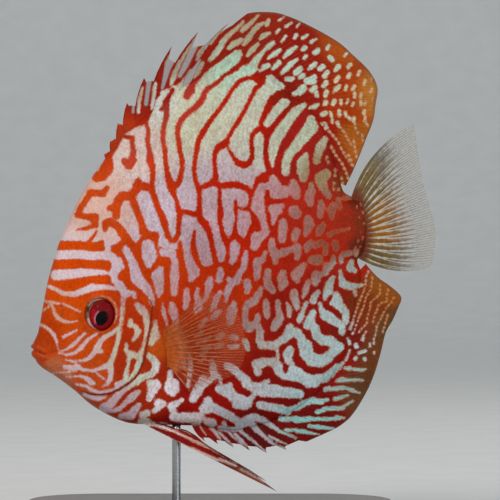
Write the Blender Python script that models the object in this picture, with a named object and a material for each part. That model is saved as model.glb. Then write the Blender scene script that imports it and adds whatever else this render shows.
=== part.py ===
"""A life-size discus fish on a plain display stand, held still as a museum model.

The origin is the centre of the stand base's underside, with +Z up. The fish swims nose-down by about
21 degrees with its head towards -X, so its left flank faces -Y. Sizes are in millimetres, and every
mesh is scaled to metres as it is made.
"""

import math

import bmesh
import bpy
from mathutils import Vector

MILLIMETRE = 0.001
JOINT_GAP = 0.3

# Stand
BASE_LENGTH = 140.0
BASE_WIDTH = 70.0
BASE_HEIGHT = 12.0
BASE_CORNER = 30.0
BASE_CHAMFER = 1.5
ROD_RADIUS = 1.6
ROD_X = -12.6
ROD_SINK = 6.0

# Flesh of the body: a disc seen from the side, with the outline that the fins grow from as X and Z
CENTRE_X = -4.0
CENTRE_Z = 100.0
BACK = (
    (-66.6, 69.6), (-64.4, 75.2), (-62.6, 85.0), (-60.7, 94.5), (-58.4, 102.8), (-53.3, 116.2),
    (-49.5, 124.5), (-45.0, 132.0), (-40.0, 139.2), (-34.5, 145.9), (-28.5, 152.4), (-22.3, 158.0),
    (-15.0, 163.5), (-7.5, 168.7), (-1.0, 172.0), (5.6, 173.5), (12.7, 173.0), (19.6, 171.0),
    (26.2, 167.2), (33.2, 162.4), (39.0, 156.8), (43.2, 149.8), (45.8, 142.4), (48.0, 135.0),
    (50.0, 127.8), (53.3, 125.7),
)
TAIL_ROOT = ((56.8, 124.3), (58.5, 118.9), (59.2, 111.4), (58.0, 104.6), (55.3, 102.3))
BELLY = (
    (56.5, 97.6), (56.0, 91.5), (54.6, 85.4), (53.3, 78.7), (52.0, 72.0), (49.9, 65.4), (44.3, 56.2),
    (38.2, 50.3), (31.8, 45.7), (24.6, 42.0), (17.0, 39.5), (8.6, 38.0), (2.2, 38.7), (-3.6, 39.8),
    (-13.0, 40.1), (-22.3, 40.3), (-30.8, 41.0), (-37.8, 43.7), (-45.2, 48.2), (-50.9, 53.2),
    (-57.6, 58.2), (-63.3, 61.9), (-66.0, 65.4),
)
# Angle, half thickness at the edge and roundness of the section: 0.5 is a round brow, 0.9 a keen edge
EDGE_SECTION = (
    (-155.0, 1.8, 0.50), (-130.0, 2.2, 0.50), (-105.0, 2.6, 0.56), (-85.0, 1.3, 0.72),
    (-50.0, 1.1, 0.88), (-8.0, 1.5, 1.05), (12.0, 2.0, 1.15), (30.0, 1.4, 0.95), (60.0, 1.1, 0.90),
    (100.0, 1.2, 0.84), (135.0, 1.6, 0.58), (175.0, 1.6, 0.50),
)
HALF_WIDTH = 12.4
FULLNESS = 2.15
CALM_TURNS = (-24.0, -16.0, -8.0, 0.0, 8.0, 16.0, 24.0)
CALM_POWER = 5.0
RINGS = 9
WIDEST_STEP = 6.5

# Head
EYE_X = -40.9
EYE_Z = 81.7
EYE_LENGTH = 5.7
EYE_HEIGHT = 6.3
EYE_DEPTH = 4.1
EYE_PROUD = 1.9
ORBIT_RIM = 0.7
NOSTRIL_X = -55.9
NOSTRIL_Z = 84.4
NOSTRIL_RADIUS = 0.75
NOSTRIL_RIM = 0.45
NOSTRIL_DEPTH = 1.8
MOUTH_CORNER_X = -61.4
MOUTH_CORNER_Z = 66.9
MOUTH_HALF_SPAN = 4.5
UPPER_LIP = {"reach": 4.5, "front_z": 69.6, "front_radius": 1.35, "corner_radius": 0.8, "side": 0.8}
LOWER_LIP = {"reach": 3.5, "front_z": 65.7, "front_radius": 1.6, "corner_radius": 0.8, "side": -0.8}

# Thin parting cuts, as points of X and Z that run from outside the flesh to outside it again
JAW_CUT = ((-74.0, 68.4), (-67.0, 67.9), (-61.8, 66.8), (-59.4, 64.2), (-58.2, 61.2), (-58.4, 56.6),
           (-59.6, 51.5))
GILL_CUT = (
    (-45.5, 148.5), (-39.2, 140.2), (-34.0, 127.0), (-28.8, 111.0), (-24.0, 96.0), (-21.2, 85.0),
    (-21.7, 78.0), (-23.4, 71.5), (-25.5, 63.8), (-28.0, 58.8), (-31.6, 55.3), (-36.5, 52.7),
    (-42.0, 51.6), (-47.5, 52.2), (-53.0, 54.0), (-58.5, 56.2),
)
TAIL_CUT = ((54.4, 131.2), (51.2, 126.4), (47.8, 121.0), (46.2, 114.0), (46.8, 107.4), (50.0, 103.4),
            (55.0, 101.6), (61.0, 100.6))

# Gill cover: its front and rear edges from top to bottom, as X and Z
COVER_FRONT = ((-32.4, 89.4), (-33.1, 82.0), (-33.8, 75.5), (-35.0, 69.0), (-36.8, 63.4), (-39.6, 58.0))
COVER_REAR = ((-24.8, 90.0), (-22.9, 84.0), (-23.5, 77.2), (-25.2, 70.2), (-28.4, 62.2), (-35.2, 55.0))
COVER_RISE = 0.35
COVER_THICKNESS = 1.3
COVER_COLUMNS = 5
COVER_ROWS = 10

# Unpaired fins. Each row is an angle on the body's edge, then X and Z of the fin's margin there.
# Dorsal fin from the nape to the tail: nine spines, then the soft lobe
DORSAL = (
    (131.5, -39.7, 141.6), (128.3, -37.5, 146.3), (124.4, -34.5, 153.4), (120.4, -31.1, 160.9),
    (114.3, -24.7, 170.3), (108.6, -14.2, 182.3), (103.5, -4.5, 187.5), (97.7, 7.1, 190.9),
    (92.9, 14.0, 194.4),
    (86.6, 21.5, 195.0), (82.8, 27.0, 194.2), (77.3, 36.0, 190.5), (69.8, 48.0, 183.8),
    (65.4, 54.0, 178.5), (61.6, 60.0, 172.5), (58.4, 62.8, 166.6), (56.0, 62.2, 160.9),
    (53.4, 61.1, 154.1), (49.4, 58.5, 147.4), (45.0, 56.2, 141.4), (40.5, 54.0, 136.2),
    (36.0, 52.3, 132.6), (31.5, 50.9, 129.8),
)
DORSAL_SPINES = 9
DORSAL_RAYS = 31
DORSAL_NOTCH = 0.44
DORSAL_BOW = (0.09, 0.03)
# Anal fin from the vent to the tail: seven spines, then the soft lobe
ANAL = (
    (-93.3, -1.7, 33.9), (-89.4, 3.0, 33.0), (-84.5, 9.0, 31.7), (-79.5, 15.0, 30.6),
    (-74.5, 21.4, 29.6), (-69.6, 28.7, 30.8), (-65.0, 36.2, 33.9),
    (-60.6, 43.0, 36.9), (-58.0, 48.4, 39.6), (-55.0, 52.9, 43.4), (-48.7, 58.1, 51.4),
    (-42.2, 61.5, 58.9), (-37.0, 64.1, 67.5), (-33.4, 66.0, 75.0), (-30.3, 68.6, 79.6),
    (-27.9, 70.5, 84.0), (-24.8, 71.8, 87.6), (-21.5, 70.2, 90.0), (-17.5, 66.8, 92.8),
    (-12.5, 63.2, 95.3), (-7.5, 60.4, 98.2), (-3.0, 58.4, 100.6),
)
ANAL_SPINES = 7
ANAL_RAYS = 29
ANAL_NOTCH = 0.68
ANAL_BOW = (-0.10, -0.02)
# Tail fin from its lower to its upper edge
CAUDAL = (
    (3.2, 80.6, 98.6), (4.6, 82.9, 100.1), (6.2, 84.0, 104.6), (8.0, 84.4, 109.9), (10.2, 84.2, 115.1),
    (13.0, 81.7, 123.7), (16.0, 79.5, 132.4), (19.0, 78.0, 141.8), (21.5, 77.2, 147.6),
    (23.4, 76.4, 153.0),
)
CAUDAL_RAYS = 16
CAUDAL_BOW = (-0.10, 0.11)
SPINE_WEB = (0.34, 0.80)
SPINE_CLEFT = 0.90
FIN_ROWS = (0.0, 0.22, 0.5, 0.78, 1.0)
ROOT_HALF = 0.95
RAY_HALF = 0.5
MEMBRANE_HALF = 0.27
CAUDAL_ROOT_HALF = 1.7

# Pectoral fins: the root is a line on the flank, and each margin row is a share of the root from top
# to bottom, then X and Z.
PECTORAL_ROOT = ((-16.6, 76.0), (-14.8, 62.4))
PECTORAL_MARGIN = (
    (0.0, -1.1, 91.1), (0.1, 3.2, 89.6), (0.22, 7.7, 85.9), (0.36, 11.3, 80.6), (0.5, 13.2, 74.6),
    (0.62, 13.5, 69.0), (0.73, 12.2, 63.7), (0.82, 8.8, 59.6), (0.9, 3.8, 57.1), (0.95, -1.4, 55.3),
    (1.0, -7.2, 53.4),
)
PECTORAL_RAYS = 12
PECTORAL_STANDOFF = 7.5
PECTORAL_ROOT_HALF = 1.3

# Pelvic fins: each row is a share of the root from front to rear, then X and Z of the ray's tip.
PELVIC_ROOT_ANGLES = (-110.4, -105.0)
PELVIC_TIPS = {
    "left": ((0.0, 25.1, 15.8), (0.2, 17.6, 21.2), (0.4, 8.4, 26.8), (0.6, -0.6, 32.0),
             (0.8, -4.4, 35.2), (1.0, -8.4, 37.8)),
    "right": ((0.0, 21.4, 18.4), (0.2, 14.6, 23.0), (0.4, 6.2, 28.0), (0.6, -1.6, 32.8),
              (0.8, -5.2, 35.8), (1.0, -8.8, 38.0)),
}
PELVIC_ROWS = (0.0, 0.12, 0.3, 0.52, 0.76, 1.0)
PELVIC_Y = 1.55
PELVIC_SPREAD = 6.5
PELVIC_ROOT_HALF = 0.6


def finish_material(name, colour, roughness, metallic=0.0):
    """A plain coloured finish."""
    material = bpy.data.materials.new(name)
    material.use_nodes = True
    shader = material.node_tree.nodes["Principled BSDF"]
    shader.inputs["Base Color"].default_value = (*colour, 1.0)
    shader.inputs["Roughness"].default_value = roughness
    shader.inputs["Metallic"].default_value = metallic
    return material


def mesh_object(name, points, faces):
    """A mesh object from points in millimetres, with its faces turned outwards."""
    shape = bmesh.new()
    corners = [shape.verts.new(Vector(point) * MILLIMETRE) for point in points]
    for face in faces:
        shape.faces.new([corners[index] for index in face])
    bmesh.ops.recalc_face_normals(shape, faces=shape.faces)
    mesh = bpy.data.meshes.new(name)
    shape.to_mesh(mesh)
    shape.free()
    thing = bpy.data.objects.new(name, mesh)
    bpy.context.scene.collection.objects.link(thing)
    return thing


def dress(thing, material, crease=35.0):
    """Gives a finished node its material and rounded shading."""
    thing.data.materials.clear()
    thing.data.materials.append(material)
    thing.data.shade_smooth()
    thing.data.set_sharp_from_angle(angle=math.radians(crease))


def combine(target, tools, operation):
    """Joins closed tools to the target or cuts them out of it, and removes them."""
    group = bpy.data.collections.new("tools")
    for tool in tools:
        group.objects.link(tool)
    modifier = target.modifiers.new("Combine", "BOOLEAN")
    modifier.operand_type = "COLLECTION"
    modifier.collection = group
    modifier.operation = operation
    modifier.solver = "EXACT"
    graph = bpy.context.evaluated_depsgraph_get()
    mesh = bpy.data.meshes.new_from_object(target.evaluated_get(graph))
    target.modifiers.clear()
    target.data = mesh
    for tool in tools:
        bpy.data.objects.remove(tool)
    bpy.data.collections.remove(group)


def curve_at(rows, key):
    """Values of a smooth curve through rows that start with a rising key."""
    last = len(rows) - 1
    low = max([i for i in range(last) if rows[i][0] <= key] or [0])
    high = low + 1
    step = rows[high][0] - rows[low][0]
    share = (key - rows[low][0]) / step
    before, after = max(low - 1, 0), min(high + 1, last)
    values = []
    for column in range(1, len(rows[0])):
        start, end = rows[low][column], rows[high][column]
        lead = (end - rows[before][column]) / (rows[high][0] - rows[before][0]) * step
        trail = (rows[after][column] - start) / (rows[after][0] - rows[low][0]) * step
        values.append(
            start * (2 * share**3 - 3 * share**2 + 1)
            + lead * (share**3 - 2 * share**2 + share)
            + end * (3 * share**2 - 2 * share**3)
            + trail * (share**3 - share**2)
        )
    return values


def around(rows, angle):
    """Values of a closed curve about the body's centre at one angle in degrees."""
    turned = [(row[0] + 360.0 * turn, *row[1:]) for turn in (-1, 0, 1) for row in rows]
    return curve_at(turned, (angle + 180.0) % 360.0 - 180.0)


def edge_rows():
    """Angle in degrees and radius of each point of the body's outline, as a rising list."""
    rows = []
    for x, z in BACK + TAIL_ROOT + BELLY:
        away = Vector((x - CENTRE_X, z - CENTRE_Z))
        rows.append((math.degrees(math.atan2(away.y, away.x)), away.length))
    return sorted(rows)


EDGE_ROWS = edge_rows()


def edge_point(angle):
    """X and Z on the smooth edge of the flesh."""
    radius = around(EDGE_ROWS, angle)[0]
    turn = math.radians(angle)
    return CENTRE_X + radius * math.cos(turn), CENTRE_Z + radius * math.sin(turn)


def root_point(angle):
    """X and Z just outside the edge of the faceted flesh, where a fin begins."""
    corners = RING_ANGLES + [RING_ANGLES[0] + 360.0]
    i = max(k for k in range(len(RING_ANGLES)) if corners[k] <= angle)
    start, end = (Vector(edge_point(corner)) for corner in corners[i:i + 2])
    chord = end - start
    turn = math.radians(angle)
    spoke = Vector((math.cos(turn), math.sin(turn)))
    centre = Vector((CENTRE_X, CENTRE_Z))
    outward = Vector((chord.y, -chord.x)).normalized()
    reach = ((start - centre).dot(outward) + JOINT_GAP) / spoke.dot(outward)
    return tuple(centre + spoke * reach)


def half_width(x, z):
    """Half thickness of the flesh at a point of its side view.

    The outline's own dips and corners fade away inwards, so that they leave no creases on the flanks.
    """
    away_x, away_z = x - CENTRE_X, z - CENTRE_Z
    angle = math.degrees(math.atan2(away_z, away_x))
    away = math.hypot(away_x, away_z)
    share = min(away / around(EDGE_ROWS, angle)[0], 1.0)
    calm = sum(around(EDGE_ROWS, angle + turn)[0] for turn in CALM_TURNS) / len(CALM_TURNS)
    share += (min(away / calm, 1.0) - share) * (1.0 - share**CALM_POWER)
    rim, roundness = around(EDGE_SECTION, angle)
    return rim + (HALF_WIDTH - rim) * (1.0 - share**FULLNESS) ** roundness


def ring_angles():
    """Angles of the body's mesh: those of its outline, and more where these lie far apart."""
    angles = []
    keys = [row[0] for row in EDGE_ROWS]
    for key, after in zip(keys, keys[1:] + [keys[0] + 360.0]):
        parts = math.ceil((after - key) / WIDEST_STEP)
        angles += [key + (after - key) * i / parts for i in range(parts)]
    return angles


RING_ANGLES = ring_angles()


def body_form():
    """The whole flesh of the fish without lips, as two domed faces joined round the edge."""
    angles = RING_ANGLES
    count = len(angles)
    points = []
    for side in (-1, 1):
        points.append((CENTRE_X, side * HALF_WIDTH, CENTRE_Z))
        for ring in range(1, RINGS + 1):
            share = math.sin(math.pi / 2 * ring / RINGS)
            for angle in angles:
                edge_x, edge_z = edge_point(angle)
                x = CENTRE_X + (edge_x - CENTRE_X) * share
                z = CENTRE_Z + (edge_z - CENTRE_Z) * share
                points.append((x, side * half_width(x, z), z))
    faces = []
    per_side = 1 + RINGS * count
    for start in (0, per_side):
        for i in range(count):
            after = (i + 1) % count
            faces.append((start, start + 1 + i, start + 1 + after))
            for ring in range(RINGS - 1):
                inner, outer = start + 1 + ring * count, start + 1 + (ring + 1) * count
                faces.append((inner + i, outer + i, outer + after, inner + after))
    rim = 1 + (RINGS - 1) * count
    for i in range(count):
        after = (i + 1) % count
        faces.append((rim + i, rim + after, per_side + rim + after, per_side + rim + i))
    return mesh_object("flesh", points, faces)


def lip(name, shape, sections=12, sides=8):
    """A tapered roll that runs round the front of the mouth from corner to corner."""
    points = []
    for i in range(sections + 1):
        turn = math.radians(-90.0 + 180.0 * i / sections)
        front = math.cos(turn)
        middle = Vector((
            MOUTH_CORNER_X - shape["reach"] * front,
            MOUTH_HALF_SPAN * math.sin(turn),
            MOUTH_CORNER_Z + shape["side"] + (shape["front_z"] - MOUTH_CORNER_Z - shape["side"]) * front,
        ))
        outward = Vector((-math.cos(turn), math.sin(turn), 0.0))
        taper = math.sqrt(front) if front > 0 else 0.0
        radius = shape["corner_radius"] + (shape["front_radius"] - shape["corner_radius"]) * taper
        for k in range(sides):
            spoke = 2 * math.pi * k / sides
            offset = outward * math.cos(spoke) + Vector((0, 0, 1)) * math.sin(spoke)
            points.append(middle + offset * radius)
    faces = [tuple(range(sides)), tuple(range(sections * sides, (sections + 1) * sides))]
    for i in range(sections):
        for k in range(sides):
            after = (k + 1) % sides
            faces.append((i * sides + k, i * sides + after, (i + 1) * sides + after, (i + 1) * sides + k))
    return mesh_object(name, points, faces)


def flank_frame(x, z, side):
    """A point on the flank, and the directions out of it, backwards and up along it."""
    step = 1.0
    here = Vector((x, side * half_width(x, z), z))
    back = Vector((x + step, side * half_width(x + step, z), z)) - here
    up = Vector((x, side * half_width(x, z + step), z + step)) - here
    out = back.cross(up).normalized()
    if out.y * side < 0:
        out.negate()
    back.normalize()
    return here, out, back, out.cross(back) * (1 if out.cross(back).z > 0 else -1)


def ring_on_flank(name, x, z, side, length, height, thickness, spokes=20, sides=6):
    """A round bead laid on the flank, such as the rim of an eye socket or nostril."""
    here, out, back, up = flank_frame(x, z, side)
    points = []
    for i in range(spokes):
        turn = 2 * math.pi * i / spokes
        outward = (back * math.cos(turn) + up * math.sin(turn)).normalized()
        middle = here + back * length * math.cos(turn) + up * height * math.sin(turn)
        for k in range(sides):
            spoke = 2 * math.pi * k / sides
            points.append(middle + (outward * math.cos(spoke) + out * math.sin(spoke)) * thickness)
    faces = []
    for i in range(spokes):
        for k in range(sides):
            after, next_spoke = (k + 1) % sides, (i + 1) % spokes
            faces.append((i * sides + k, i * sides + after,
                          next_spoke * sides + after, next_spoke * sides + k))
    return mesh_object(name, points, faces)


def dome_on_flank(name, x, z, side, length, height, depth, proud, segments=24, stacks=10):
    """A flattened ball set into the flank so that it stands proud of it."""
    here, out, back, up = flank_frame(x, z, side)
    middle = here + out * (proud - depth)
    points = [middle + out * depth]
    for stack in range(1, stacks):
        fall = math.pi * stack / stacks
        for i in range(segments):
            turn = 2 * math.pi * i / segments
            points.append(middle + out * depth * math.cos(fall)
                          + (back * length * math.cos(turn) + up * height * math.sin(turn)) * math.sin(fall))
    points.append(middle - out * depth)
    faces = []
    for i in range(segments):
        after = (i + 1) % segments
        faces.append((0, 1 + i, 1 + after))
        for stack in range(stacks - 2):
            upper, lower = 1 + stack * segments, 1 + (stack + 1) * segments
            faces.append((upper + i, lower + i, lower + after, upper + after))
        last = 1 + (stacks - 2) * segments
        faces.append((last + i, len(points) - 1, last + after))
    return mesh_object(name, points, faces)


def eye(name, side, clearance=0.0):
    """An eyeball, or with a clearance the cutter that makes its socket."""
    return dome_on_flank(name, EYE_X, EYE_Z, side, EYE_LENGTH + clearance, EYE_HEIGHT + clearance,
                         EYE_DEPTH + clearance, EYE_PROUD + clearance)


def nostril_pit(name, side):
    """A short oval plug that cuts the nostril."""
    return dome_on_flank(name, NOSTRIL_X, NOSTRIL_Z, side, NOSTRIL_RADIUS, NOSTRIL_RADIUS * 1.2,
                         NOSTRIL_DEPTH, NOSTRIL_DEPTH * 0.4, segments=10, stacks=6)


def blade(name, path):
    """A thin wall along a path of the side view, wide enough to cut through the fish."""
    reach = HALF_WIDTH * 2
    flats = [Vector((x, 0.0, z)) for x, z in path]
    edges = []
    for i, here in enumerate(flats):
        ahead = flats[min(i + 1, len(flats) - 1)] - here
        behind = here - flats[max(i - 1, 0)]
        along = (ahead.normalized() + behind.normalized()).normalized()
        edges.append(along.cross(Vector((0, 1, 0))) * (JOINT_GAP / 2))
    points = []
    for here, across in zip(flats, edges):
        for side in (-1, 1):
            for face in (-1, 1):
                points.append(here + across * face + Vector((0, side * reach, 0)))
    faces = [(0, 1, 3, 2), tuple(4 * (len(path) - 1) + k for k in (0, 1, 3, 2))]
    for i in range(len(path) - 1):
        near, far = 4 * i, 4 * (i + 1)
        for a, b in ((0, 1), (1, 3), (3, 2), (2, 0)):
            faces.append((near + a, near + b, far + b, far + a))
    return mesh_object(name, points, faces)


def rounded_path(path, per_span=3):
    """A smooth path through the given points."""
    keyed = [(float(i), x, z) for i, (x, z) in enumerate(path)]
    steps = (len(path) - 1) * per_span
    return [tuple(curve_at(keyed, i / per_span)) for i in range(steps + 1)]


def cover_plate(name, side, inner, outer, inset):
    """The gill cover's plate between two depths of the flank, or with a negative inset its pocket."""
    front = [(float(i), x, z) for i, (x, z) in enumerate(COVER_FRONT)]
    rear = [(float(i), x, z) for i, (x, z) in enumerate(COVER_REAR)]
    spans = len(COVER_FRONT) - 1
    points = []
    for depth in (inner, outer):
        for row in range(COVER_ROWS + 1):
            key = spans * (row / COVER_ROWS)
            front_x, front_z = curve_at(front, key)
            rear_x, rear_z = curve_at(rear, key)
            across = Vector((rear_x - front_x, 0.0, rear_z - front_z))
            lift = {0: -inset, COVER_ROWS: inset}.get(row, 0.0)
            for column in range(COVER_COLUMNS + 1):
                share = column / COVER_COLUMNS
                slide = {0: inset, COVER_COLUMNS: -inset}.get(column, 0.0)
                spot = Vector((front_x, 0.0, front_z)) + across * share + across.normalized() * slide
                x, z = spot.x, spot.z + lift
                points.append((x, side * (half_width(x, z) + depth), z))
    faces = []
    wide = COVER_COLUMNS + 1
    layer = wide * (COVER_ROWS + 1)
    for row in range(COVER_ROWS):
        for column in range(COVER_COLUMNS):
            low = row * wide + column
            for start in (0, layer):
                a, b, c, d = (start + k for k in (low, low + 1, low + wide + 1, low + wide))
                faces += [(a, b, c), (a, c, d)]
    border = [(row * wide, (row + 1) * wide) for row in range(COVER_ROWS)]
    border += [(row * wide + COVER_COLUMNS, (row + 1) * wide + COVER_COLUMNS) for row in range(COVER_ROWS)]
    border += [(column, column + 1) for column in range(COVER_COLUMNS)]
    border += [(COVER_ROWS * wide + column, COVER_ROWS * wide + column + 1)
               for column in range(COVER_COLUMNS)]
    faces += [(a, b, b + layer, a + layer) for a, b in border]
    return mesh_object(name, points, faces)


def shells_of(thing):
    """The closed surfaces of a mesh, each as its own list of faces, with the largest first."""
    shape = bmesh.new()
    shape.from_mesh(thing.data)
    unseen = set(shape.faces)
    shells = []
    while unseen:
        todo = [unseen.pop()]
        shell = []
        while todo:
            face = todo.pop()
            shell.append(face)
            for edge in face.edges:
                for other in edge.link_faces:
                    if other in unseen:
                        unseen.discard(other)
                        todo.append(other)
        corners = sorted({corner for face in shell for corner in face.verts}, key=lambda c: c.index)
        place = {corner: i for i, corner in enumerate(corners)}
        points = [tuple(corner.co / MILLIMETRE) for corner in corners]
        faces = [tuple(place[corner] for corner in face.verts) for face in shell]
        shells.append((points, faces))
    shape.free()
    return sorted(shells, key=lambda shell: -len(shell[0]))


def flesh_nodes(skin):
    """Head, lower jaw, body and tail stalk, parted from one fused form by thin cuts."""
    whole = body_form()
    beads = [lip("upper_lip", UPPER_LIP), lip("lower_lip", LOWER_LIP)]
    cuts = [blade("jaw_cut", JAW_CUT), blade("gill_cut", rounded_path(GILL_CUT)),
            blade("tail_cut", rounded_path(TAIL_CUT))]
    for side in (-1, 1):
        beads.append(ring_on_flank("orbit", EYE_X, EYE_Z, side, EYE_LENGTH - ORBIT_RIM / 2,
                                   EYE_HEIGHT - ORBIT_RIM / 2, ORBIT_RIM))
        beads.append(ring_on_flank("nostril", NOSTRIL_X, NOSTRIL_Z, side, NOSTRIL_RADIUS + NOSTRIL_RIM / 2,
                                   NOSTRIL_RADIUS * 1.2 + NOSTRIL_RIM / 2, NOSTRIL_RIM, spokes=10, sides=4))
        cuts.append(eye("socket", side, JOINT_GAP))
        cuts.append(nostril_pit("pit", side))
        cuts.append(cover_plate("pocket", side, -COVER_THICKNESS - JOINT_GAP, 3.0, -JOINT_GAP))
    combine(whole, beads, "UNION")
    combine(whole, cuts, "DIFFERENCE")
    middles = {"head": (-45.0, 95.0), "lower_jaw": (-64.5, 60.5), "body": (5.0, 100.0),
               "tail_stalk": (50.0, 112.0)}
    taken = {}
    for points, faces in shells_of(whole):
        x = sum(point[0] for point in points) / len(points)
        z = sum(point[2] for point in points) / len(points)
        name = min(middles, key=lambda n: math.hypot(x - middles[n][0], z - middles[n][1]))
        if name not in taken:
            taken[name] = mesh_object(name, points, faces)
    bpy.data.objects.remove(whole)
    for node in taken.values():
        dress(node, skin)


def fin_mesh(name, columns, rows, place, half, material):
    """A membrane with its rays raised in its own surface.

    place gives a point on the middle of the fin and the direction out of it, and half the thickness
    on each side. Both faces are split into triangles alike.
    """
    points = []
    for side in (-1, 1):
        for column in columns:
            for row in rows:
                middle, out = place(column, row)
                points.append(middle + out * (side * half(column, row)))
    tall = len(rows)
    layer = len(columns) * tall
    faces = []
    for i in range(len(columns) - 1):
        for k in range(tall - 1):
            low = i * tall + k
            for start in (0, layer):
                a, b, c, d = (start + n for n in (low, low + tall, low + tall + 1, low + 1))
                faces += [(a, b, c), (a, c, d)]
    border = [(i * tall + k, (i + 1) * tall + k) for i in range(len(columns) - 1) for k in (0, tall - 1)]
    border += [(i * tall + k, i * tall + k + 1) for k in range(tall - 1) for i in (0, len(columns) - 1)]
    faces += [(a, b, b + layer, a + layer) for a, b in border]
    fin = mesh_object(name, points, faces)
    dress(fin, material, crease=60.0)


def spread(rows):
    """Rows of a fin keyed by how far they lie along its root and its margin together."""
    key = 0.0
    keyed = [(key, *rows[0])]
    for before, row in zip(rows, rows[1:]):
        root = Vector(edge_point(row[0])) - Vector(edge_point(before[0]))
        margin = Vector(row[1:]) - Vector(before[1:])
        key += root.length + margin.length
        keyed.append((key, *row))
    return keyed


def fin_columns(keyed, spines, rays, notch):
    """Columns of an unpaired fin as (key, length, raised): its spines, then its soft rays."""
    columns = []
    for i in range(spines):
        key, after = keyed[i][0], keyed[i + 1][0]
        columns.append((key, 1.0, True))
        if i < spines - 1:
            cleft = notch + (1.0 - notch) * (i / (spines - 1)) ** 3
            web = max(SPINE_WEB[1], cleft)
            columns.append((key + (after - key) * SPINE_WEB[0], web, False))
            columns.append((key + (after - key) * SPINE_CLEFT, cleft, False))
    start = keyed[spines - 1][0] if spines else keyed[0][0]
    steps = 2 * rays if spines else 2 * (rays - 1)
    for i in range(1 if spines else 0, steps + 1):
        columns.append((start + (keyed[-1][0] - start) * i / steps, 1.0, i % 2 == 0))
    return columns


def unpaired_fin(name, rows, spines, rays, notch, bow, root_half, material):
    """A fin in the fish's middle plane, grown from the edge of the flesh."""
    keyed = spread(rows)
    columns = fin_columns(keyed, spines, rays, notch)

    def place(column, row):
        key, length, _ = column
        angle, x, z = curve_at(keyed, key)
        root_x, root_z = root_point(angle)
        root = Vector((root_x, 0.0, root_z))
        ray = Vector((x, 0.0, z)) - root
        share = row * length
        bend = bow[0] + (bow[1] - bow[0]) * key / keyed[-1][0]
        forward = ray.cross(Vector((0, 1, 0))) * (bend * 4 * share * (1 - share))
        return root + ray * share + forward, Vector((0, 1, 0))

    def half(column, row):
        tip = RAY_HALF if column[2] else MEMBRANE_HALF
        if row == 0.0:
            return root_half
        worn = tip + (root_half - tip) * (1.0 - row) ** 3
        return worn * (0.55 if column[2] and row == 1.0 else 1.0)

    fin_mesh(name, columns, FIN_ROWS, place, half, material)


def pectoral_fin(name, side, material):
    """A fan of rays that stands off the flank behind the gill cover."""
    (top_x, top_z), (low_x, low_z) = PECTORAL_ROOT
    steps = 2 * (PECTORAL_RAYS - 1)
    columns = [(i / steps, i % 2 == 0) for i in range(steps + 1)]

    def middle_at(share, row):
        root_x = top_x + (low_x - top_x) * share
        root_z = top_z + (low_z - top_z) * share
        flank = half_width(root_x, root_z) + JOINT_GAP + PECTORAL_ROOT_HALF
        tip_x, tip_z = curve_at(PECTORAL_MARGIN, share)
        away = flank + PECTORAL_STANDOFF * math.sin(math.pi / 2 * row)
        return Vector((root_x + (tip_x - root_x) * row, side * away, root_z + (tip_z - root_z) * row))

    def place(column, row):
        share = column[0]
        step = 0.02
        across = middle_at(min(share + step, 1.0), max(row, step)) - middle_at(max(share - step, 0.0),
                                                                                  max(row, step))
        along = middle_at(share, min(row + step, 1.0)) - middle_at(share, max(row - step, 0.0))
        out = across.cross(along).normalized()
        return middle_at(share, row), out if out.y > 0 else -out

    def half(column, row):
        tip = RAY_HALF * 0.8 if column[1] else MEMBRANE_HALF
        return tip + (PECTORAL_ROOT_HALF - tip) * (1.0 - row) ** 4

    fin_mesh(name, columns, FIN_ROWS, place, half, material)


def pelvic_fin(name, side, tips, material):
    """A long blade of a spine and five rays that trails under the belly."""
    front, rear = PELVIC_ROOT_ANGLES
    steps = 2 * (len(tips) - 1)
    columns = [(i / steps, i % 2 == 0) for i in range(steps + 1)]

    def place(column, row):
        share = column[0]
        root_x, root_z = root_point(front + (rear - front) * share)
        tip_x, tip_z = curve_at(tips, share)
        y = side * (PELVIC_Y + PELVIC_SPREAD * math.sin(math.pi / 2 * row) * (tip_x - root_x) / 50.0)
        return Vector((root_x + (tip_x - root_x) * row, y, root_z + (tip_z - root_z) * row)), Vector((0, 1, 0))

    def half(column, row):
        tip = RAY_HALF * 0.8 if column[1] else MEMBRANE_HALF
        return tip + (PELVIC_ROOT_HALF - tip) * (1.0 - row) ** 2

    fin_mesh(name, columns, PELVIC_ROWS, place, half, material)


def stand_base(material):
    """A low slab with rounded corners and a small chamfer round its top."""
    shape = bmesh.new()
    half_x, half_y = BASE_LENGTH / 2 - BASE_CORNER, BASE_WIDTH / 2 - BASE_CORNER
    outline = []
    for corner in range(4):
        middle = Vector((half_x * (1 if corner in (0, 3) else -1), half_y * (1 if corner < 2 else -1), 0))
        for k in range(9):
            turn = math.radians(90.0 * corner + 90.0 * k / 8)
            outline.append(middle + Vector((math.cos(turn), math.sin(turn), 0)) * BASE_CORNER)
    foot = shape.faces.new([shape.verts.new(point * MILLIMETRE) for point in outline])
    grown = bmesh.ops.extrude_face_region(shape, geom=[foot])["geom"]
    top = [part for part in grown if isinstance(part, bmesh.types.BMVert)]
    bmesh.ops.translate(shape, verts=top, vec=Vector((0, 0, BASE_HEIGHT)) * MILLIMETRE)
    rim = [edge for edge in shape.edges if all(corner in top for corner in edge.verts)]
    bmesh.ops.bevel(shape, geom=rim, offset=BASE_CHAMFER * MILLIMETRE, segments=2, affect="EDGES",
                    profile=0.5)
    bmesh.ops.recalc_face_normals(shape, faces=shape.faces)
    mesh = bpy.data.meshes.new("stand_base")
    shape.to_mesh(mesh)
    shape.free()
    base = bpy.data.objects.new("stand_base", mesh)
    bpy.context.scene.collection.objects.link(base)
    return base


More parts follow.
